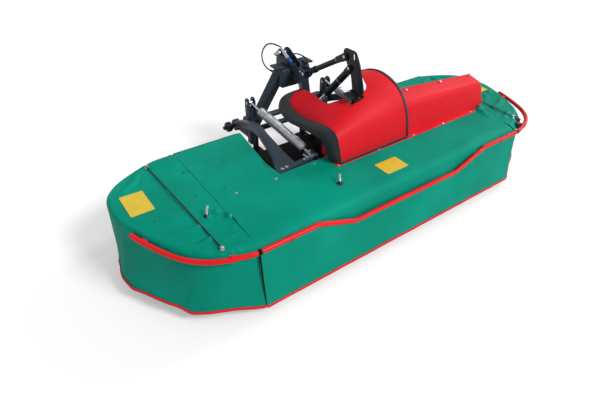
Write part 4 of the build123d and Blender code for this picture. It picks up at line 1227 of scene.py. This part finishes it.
def spring(name):
    body = f"spring_{name}"
    foot = hinge_of(f"{body}_swing") + X_WAY * SIDES[name] * SPRING_X / 1000
    top = spot(SIDES[name] * SPRING_X, *SPRING_TOP)
    way, length = (top - foot).normalized(), (top - foot).length
    part = bmesh.new()
    ring_place = Matrix.Translation((COIL_R - WIRE_R, 0, 0)) @ Matrix.Rotation(math.pi / 2, 4, "X")
    bmesh.ops.create_circle(part, cap_ends=False, segments=7, radius=WIRE_R, matrix=ring_place)
    steps = COIL_TURNS * STEPS_PER_TURN
    bmesh.ops.spin(
        part, geom=part.verts[:] + part.edges[:], cent=(0, 0, 0), axis=UP, dvec=UP * (COIL_END - COIL_START) / steps,
        angle=math.tau * COIL_TURNS, steps=steps, use_merge=False,
    )
    bmesh.ops.holes_fill(part, edges=[e for e in part.edges if e.is_boundary], sides=0)
    bm = pour(bmesh.new(), part, stand(foot + way * COIL_START, way))
    finished(f"spring_coil_{name}", bm, ZINC, body, body, crease=60)
    bm = across(bmesh.new(), foot, 0.0185, 0.017, 0.002)
    turned(bm, foot, way, [(0, 10), (12, 10), (12, 50), (26, 52), (29, 55), (29, 110), (0, 112)])
    for k in range(5):
        turned(bm, foot + way * (0.060 + 0.010 * k), way, [(28.5, 0), (32.5, 2.5), (32.5, 4.5), (28.5, 7)])
    turned(bm, foot + way * (COIL_END - 0.045), way, [(10, 0), (29, 0), (29, 46), (24, 52), (10, 54), (10, 0)])
    finished(f"spring_plugs_{name}", bm, ZINC, body)
    bm = rod(bmesh.new(), foot + way * 0.43, foot + way * (length - 0.02), 0.0085, 20)
    turned(bm, top - way * 0.050, way, [(0, 0), (11, 0), (13, 4), (13, 40), (0, 42)], 8)
    across(bm, top, 0.0175, 0.0165, 0.002)
    finished(f"spring_pull_rod_{name}", bm, CHROME, f"spring_rod_{name}", f"spring_rod_{name}")


ARM_LINE = vectors([
    # X, behind, height, width, depth
    (622, 600, 494, 176, 44), (620, 640, 496, 160, 46), (610, 740, 523, 112, 52), (597, 850, 552, 74, 58),
    (585, 956, 566, 58, 60), (566, 1040, 566, 55, 60), (545, 1124, 547, 54, 62), (522, 1225, 520, 53, 62),
    (500, 1319, 486, 52, 62), (480, 1415, 444, 51, 62), (460, 1510, 402, 50, 62), (440, 1620, 350, 50, 60),
    (422, 1715, 297, 50, 58),
])


def lift_arm(name):
    side = SIDES[name]
    rows = resampled(ARM_LINE, 60)
    path = path_of([at(side * row[0], row[1], row[2]) for row in rows])
    path = [(centre, X_WAY * row[3], up * row[4]) for (centre, _, up), row in zip(path, rows)]
    bm = sweep(bmesh.new(), path, rounded_section(1, 1, 0.12))
    joint = hinge_of("arms_lift")
    round_bar(bm, joint + X_WAY * side * 0.454, joint + X_WAY * side * 0.688, 0.030, 0.003, 28)
    across(bm, hinge_of("headstock_tilt") + X_WAY * side * 0.422, 0.025, 0.052, 0.004, 32)
    finished(f"lift_arm_{name}_curved", bm, ANTHRACITE, "lift_arms", f"lift_arm_{name}", crease=35)
    outline = [(716, 552), (384, 588), (384, 628), (520, 618), (716, 600)]
    bm = lying_plate(bmesh.new(), [(side * x, d, 499) for x, d in outline], 0.021, 0.003)
    finished(f"arm_foot_bar_{name}", bm, ANTHRACITE, "mower")
    outline = [(352, 592), (448, 600), (446, 660), (356, 656)]
    bm = lying_plate(bmesh.new(), [(side * x, d, 515) for x, d in outline], 0.008)
    for x, d, z, radius in ((668, 588, 520, 9.5), (630, 592, 520, 9.5), (440, 612, 523, 9), (470, 603, 520, 8)):
        screw(bm, spot(side * x, d, z), UP, radius / 1000)
    finished(f"arm_foot_bolts_{name}", bm, ZINC, "mower")


for name in SIDES:
    spring(name)
for name in SIDES:
    lift_arm(name)


# ---------------------------------------------------------------- headstock, hose and pipes
TOP_PLATE = [
    (1480, 800), (1600, 800), (1624, 818), (1622, 870), (1612, 912), (1585, 950), (1560, 960),
    (1530, 960), (1365, 880), (1360, 862), (1385, 843), (1440, 843),
]
LINK_EAR = [
    (1385, 735), (1385, 825), (1290, 884), (1240, 884), (1208, 868), (1200, 840), (1215, 815), (1250, 790),
]
SPRING_EAR = [
    (1446, 470), (1440, 560), (1444, 622), (1462, 640), (1496, 638), (1516, 616), (1520, 560), (1516, 470),
]
HEAD_PLATES = (
    # inner X, thickness, outline
    (366, 10, SPRING_EAR), (420, 10, SPRING_EAR), (27, 12, TOP_PLATE), (29.5, 12, LINK_EAR),
)
HEAD_BLOCKS = (
    # X, behind and height of two corners, rounding: caps, feet, cross tube ends, spring posts, braces
    (104, 1386, 850, 180, 1506, 866, 4), (255, 1590, 250, 345, 1735, 345, 6),
    (240, 1495, 400, 385, 1560, 480, 5), (372, 1456, 205, 424, 1520, 545, 6),
    (345, 1500, 255, 424, 1700, 325, 6),
    # the four walls of a parking stand's sleeve and its stop
    (238, 1620, 216, 302, 1684, 250, 2), (231, 1611, 216, 239, 1693, 318, 1.5),
    (301, 1611, 216, 309, 1693, 318, 1.5), (231, 1611, 216, 309, 1619, 318, 1.5),
    (231, 1685, 216, 309, 1693, 318, 1.5),
)
TOP_PIN, HITCH = spot(0, 1557, 922), spot(0, 1715, 295)


def headstock():
    """The A-frame that the tractor lifts by: head box, two sloping legs, cross tube and spring posts."""
    bm = block(bmesh.new(), (-142, 1380, 693), (142, 1480, 845), 0.009, 3)
    for side in SIDES.values():
        head, foot = spot(side * 92, 1441, 858), spot(side * 300, 1618, 300)
        up = (foot - head).cross(X_WAY).normalized()
        sweep(bm, [(head, X_WAY, up), (foot, X_WAY, up)], rounded_section(0.076, 0.090, 0.010))
        for x0, d0, z0, x1, d1, z1, soften in HEAD_BLOCKS:
            block(bm, (side * x0, d0, z0), (side * x1, d1, z1), soften / 1000)
        for inner, thick, outline in HEAD_PLATES:
            plate_at(bm, side * inner, side * (inner + thick), outline)
        round_bar(bm, HITCH + X_WAY * side * 0.485, HITCH + X_WAY * side * 0.497, 0.036, 0.002, 28)
    across(bm, HITCH, 0.395, 0.028, 0.002, 28)
    across(bm, HITCH, 0.556, 0.0175, 0.003)
    round_bar(bm, spot(-56, 1478, 752), spot(-56, 1690, 730), 0.010, steps=20)
    finished("headstock_frame", bm, ANTHRACITE, "headstock", "headstock", crease=35)


def headstock_pins():
    bm = round_bar(bmesh.new(), TOP_PIN - X_WAY * 0.062, TOP_PIN + X_WAY * 0.052, 0.0132, 0.002)
    tip = [(0, 0), (24, 0), (26, 4), (26, 22), (22, 30), (10, 56), (5, 62), (0, 63)]
    turned(bm, TOP_PIN - X_WAY * 0.039, -X_WAY, tip, 28)
    turned(bm, TOP_PIN + X_WAY * 0.039, X_WAY, [(0, 0), (20, 0), (20, 10), (12, 14), (12, 30), (0, 31)])
    for side in SIDES.values():
        out = X_WAY * side
        pin = spot(side * SPRING_X, *SPRING_TOP)
        for face in (-1, 1):
            turned(bm, pin + X_WAY * face * 0.032, X_WAY * face, [(0, 0), (13, 0), (13, 3), (9, 7), (0, 7.5)], 20)
        across(bm, pin, 0.033, 0.008)
        screw(bm, link_rear + out * 0.0415, out, 0.011)
        screw(bm, spot(side * 41.5, 1262, 858), out, 0.008)
        for d, z in ((1650, 300), (1600, 280)):
            screw(bm, spot(side * 345, d, z), out, 0.009)
    finished("headstock_pins", bm, ZINC, "headstock")


def damper_and_pipes():
    """The small bright cylinder with its blue end beside the top plates, and the pipes below it."""
    start, end = spot(-49, 1531, 976), spot(-47, 1368, 890)
    way = (end - start).normalized()
    profile = [(0, 0), (7.5, 0), (8, 4), (8, 26), (12, 30), (12.5, 122), (10, 124), (0, 124)]
    finished("damper_body", turned(bmesh.new(), start, way, profile), ZINC, "headstock", "hose_fittings")
    profile = [(0, 0), (13.5, 0), (14, 3), (14, 44), (11, 52), (0, 53)]
    finished("damper_cap", turned(bmesh.new(), start + way * 0.120, way, profile), BLUE, "headstock")
    bm = bmesh.new()
    for x, lean in ((-52, 0), (-14, 6)):
        line = [
            end + Vector(((x + 47) / 1000, 0.01, 0)), spot(x, 1366, 868), spot(x, 1372.5 - lean, 835),
            spot(x - 4, 1371.5, 790), spot(x - 4, 1372, 735),
        ]
        round_wire(bm, resampled(line, 24), 0.0058, 10, Vector((0.02, 1, 0.1)))
    loop = ((-10, 1470, 905), (30, 1430, 940), (70, 1360, 925), (85, 1330, 880), (60, 1375, 852))
    round_wire(bm, resampled([spot(*place) for place in loop], 30), 0.0055, 10, Vector((0.3, 0.2, 1)))
    finished("headstock_pipes", bm, RUBBER, "headstock", slot="hose_rubber")


def hose():
    hose_line.data.materials.append(RUBBER.owner)
    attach(hose_line, "headstock")
    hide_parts("hose")
    hose_line.name = "headstock_hose"
    count = len(hose_route) - 1
    sleeve = hose_route[round(count * 0.10):round(count * 0.55)]
    bm = round_wire(bmesh.new(), sleeve, HOSE_R + 0.0013, 14, X_WAY)
    green = finished("hose_sleeve", bm, GREEN_SLEEVE, "headstock")
    length = sum((b - a).length for a, b in zip(hose_route, hose_route[1:]))
    tuple(spot(*HOSE[0]))


def front_beam():
    """The CAD beam with its sharp edges eased."""
    bm = bmesh.new()
    bm.from_mesh(frame["nodes"]["front_beam"].data)
    bmesh.ops.remove_doubles(bm, verts=bm.verts, dist=1e-5)
    bmesh.ops.dissolve_limit(bm, angle_limit=math.radians(1), verts=bm.verts, edges=bm.edges)
    ease_edges(bm, 0.002, least=40)
    finished("front_beam_eased", bm, ANTHRACITE, "mower", "front_beam", crease=35)


headstock_pins()
damper_and_pipes()
hose()
headstock()
front_beam()


# ---------------------------------------------------------------- floor and lamps
FLOOR_GLOW, SKY_LEVEL, SKY_GLOSS = 0.34, 0.42, 0.18


def floor():
    bm = bmesh.new()
    bmesh.ops.create_grid(bm, x_segments=1, y_segments=1, size=30)
    ground = in_scene("floor", mesh_from("floor", bm))
    paint = Paint("floor", colour=(0.80, 0.80, 0.80, 1), roughness=0.9)
    sight = paint.node("ShaderNodeLightPath", out="Is Camera Ray")
    light = {"Color": (1, 1, 1, 1), "Strength": sight * FLOOR_GLOW}
    glow = paint.node("ShaderNodeEmission", None, light)
    both = paint.node("ShaderNodeAddShader", None, {0: Wire(paint, paint.surface.outputs[0]), 1: glow})
    paint.feed(paint.tree.nodes["Material Output"].inputs["Surface"], both)
    ground.data.materials.append(paint.owner)


def sky():
    """Soft studio light from all round, behind a white backdrop."""
    world = bpy.data.worlds.new("studio")
    bpy.context.scene.world = world
    paint = Paint("studio", world)
    sight, gloss = (paint.node("ShaderNodeLightPath", out=f"Is {ray} Ray") for ray in ("Camera", "Glossy"))
    back = paint.tree.nodes["Background"].inputs
    paint.feed(back["Color"], (1, 1, 1, 1))
    paint.feed(back["Strength"], SKY_LEVEL + (1 - SKY_LEVEL) * sight + SKY_GLOSS * gloss)


floor()
sky()
sun("front_lamp", (0.38, -0.66, 0.66), 1.95, 18)
sun("side_lamp", (0.95, 0.10, 0.60), 0.60, 12)
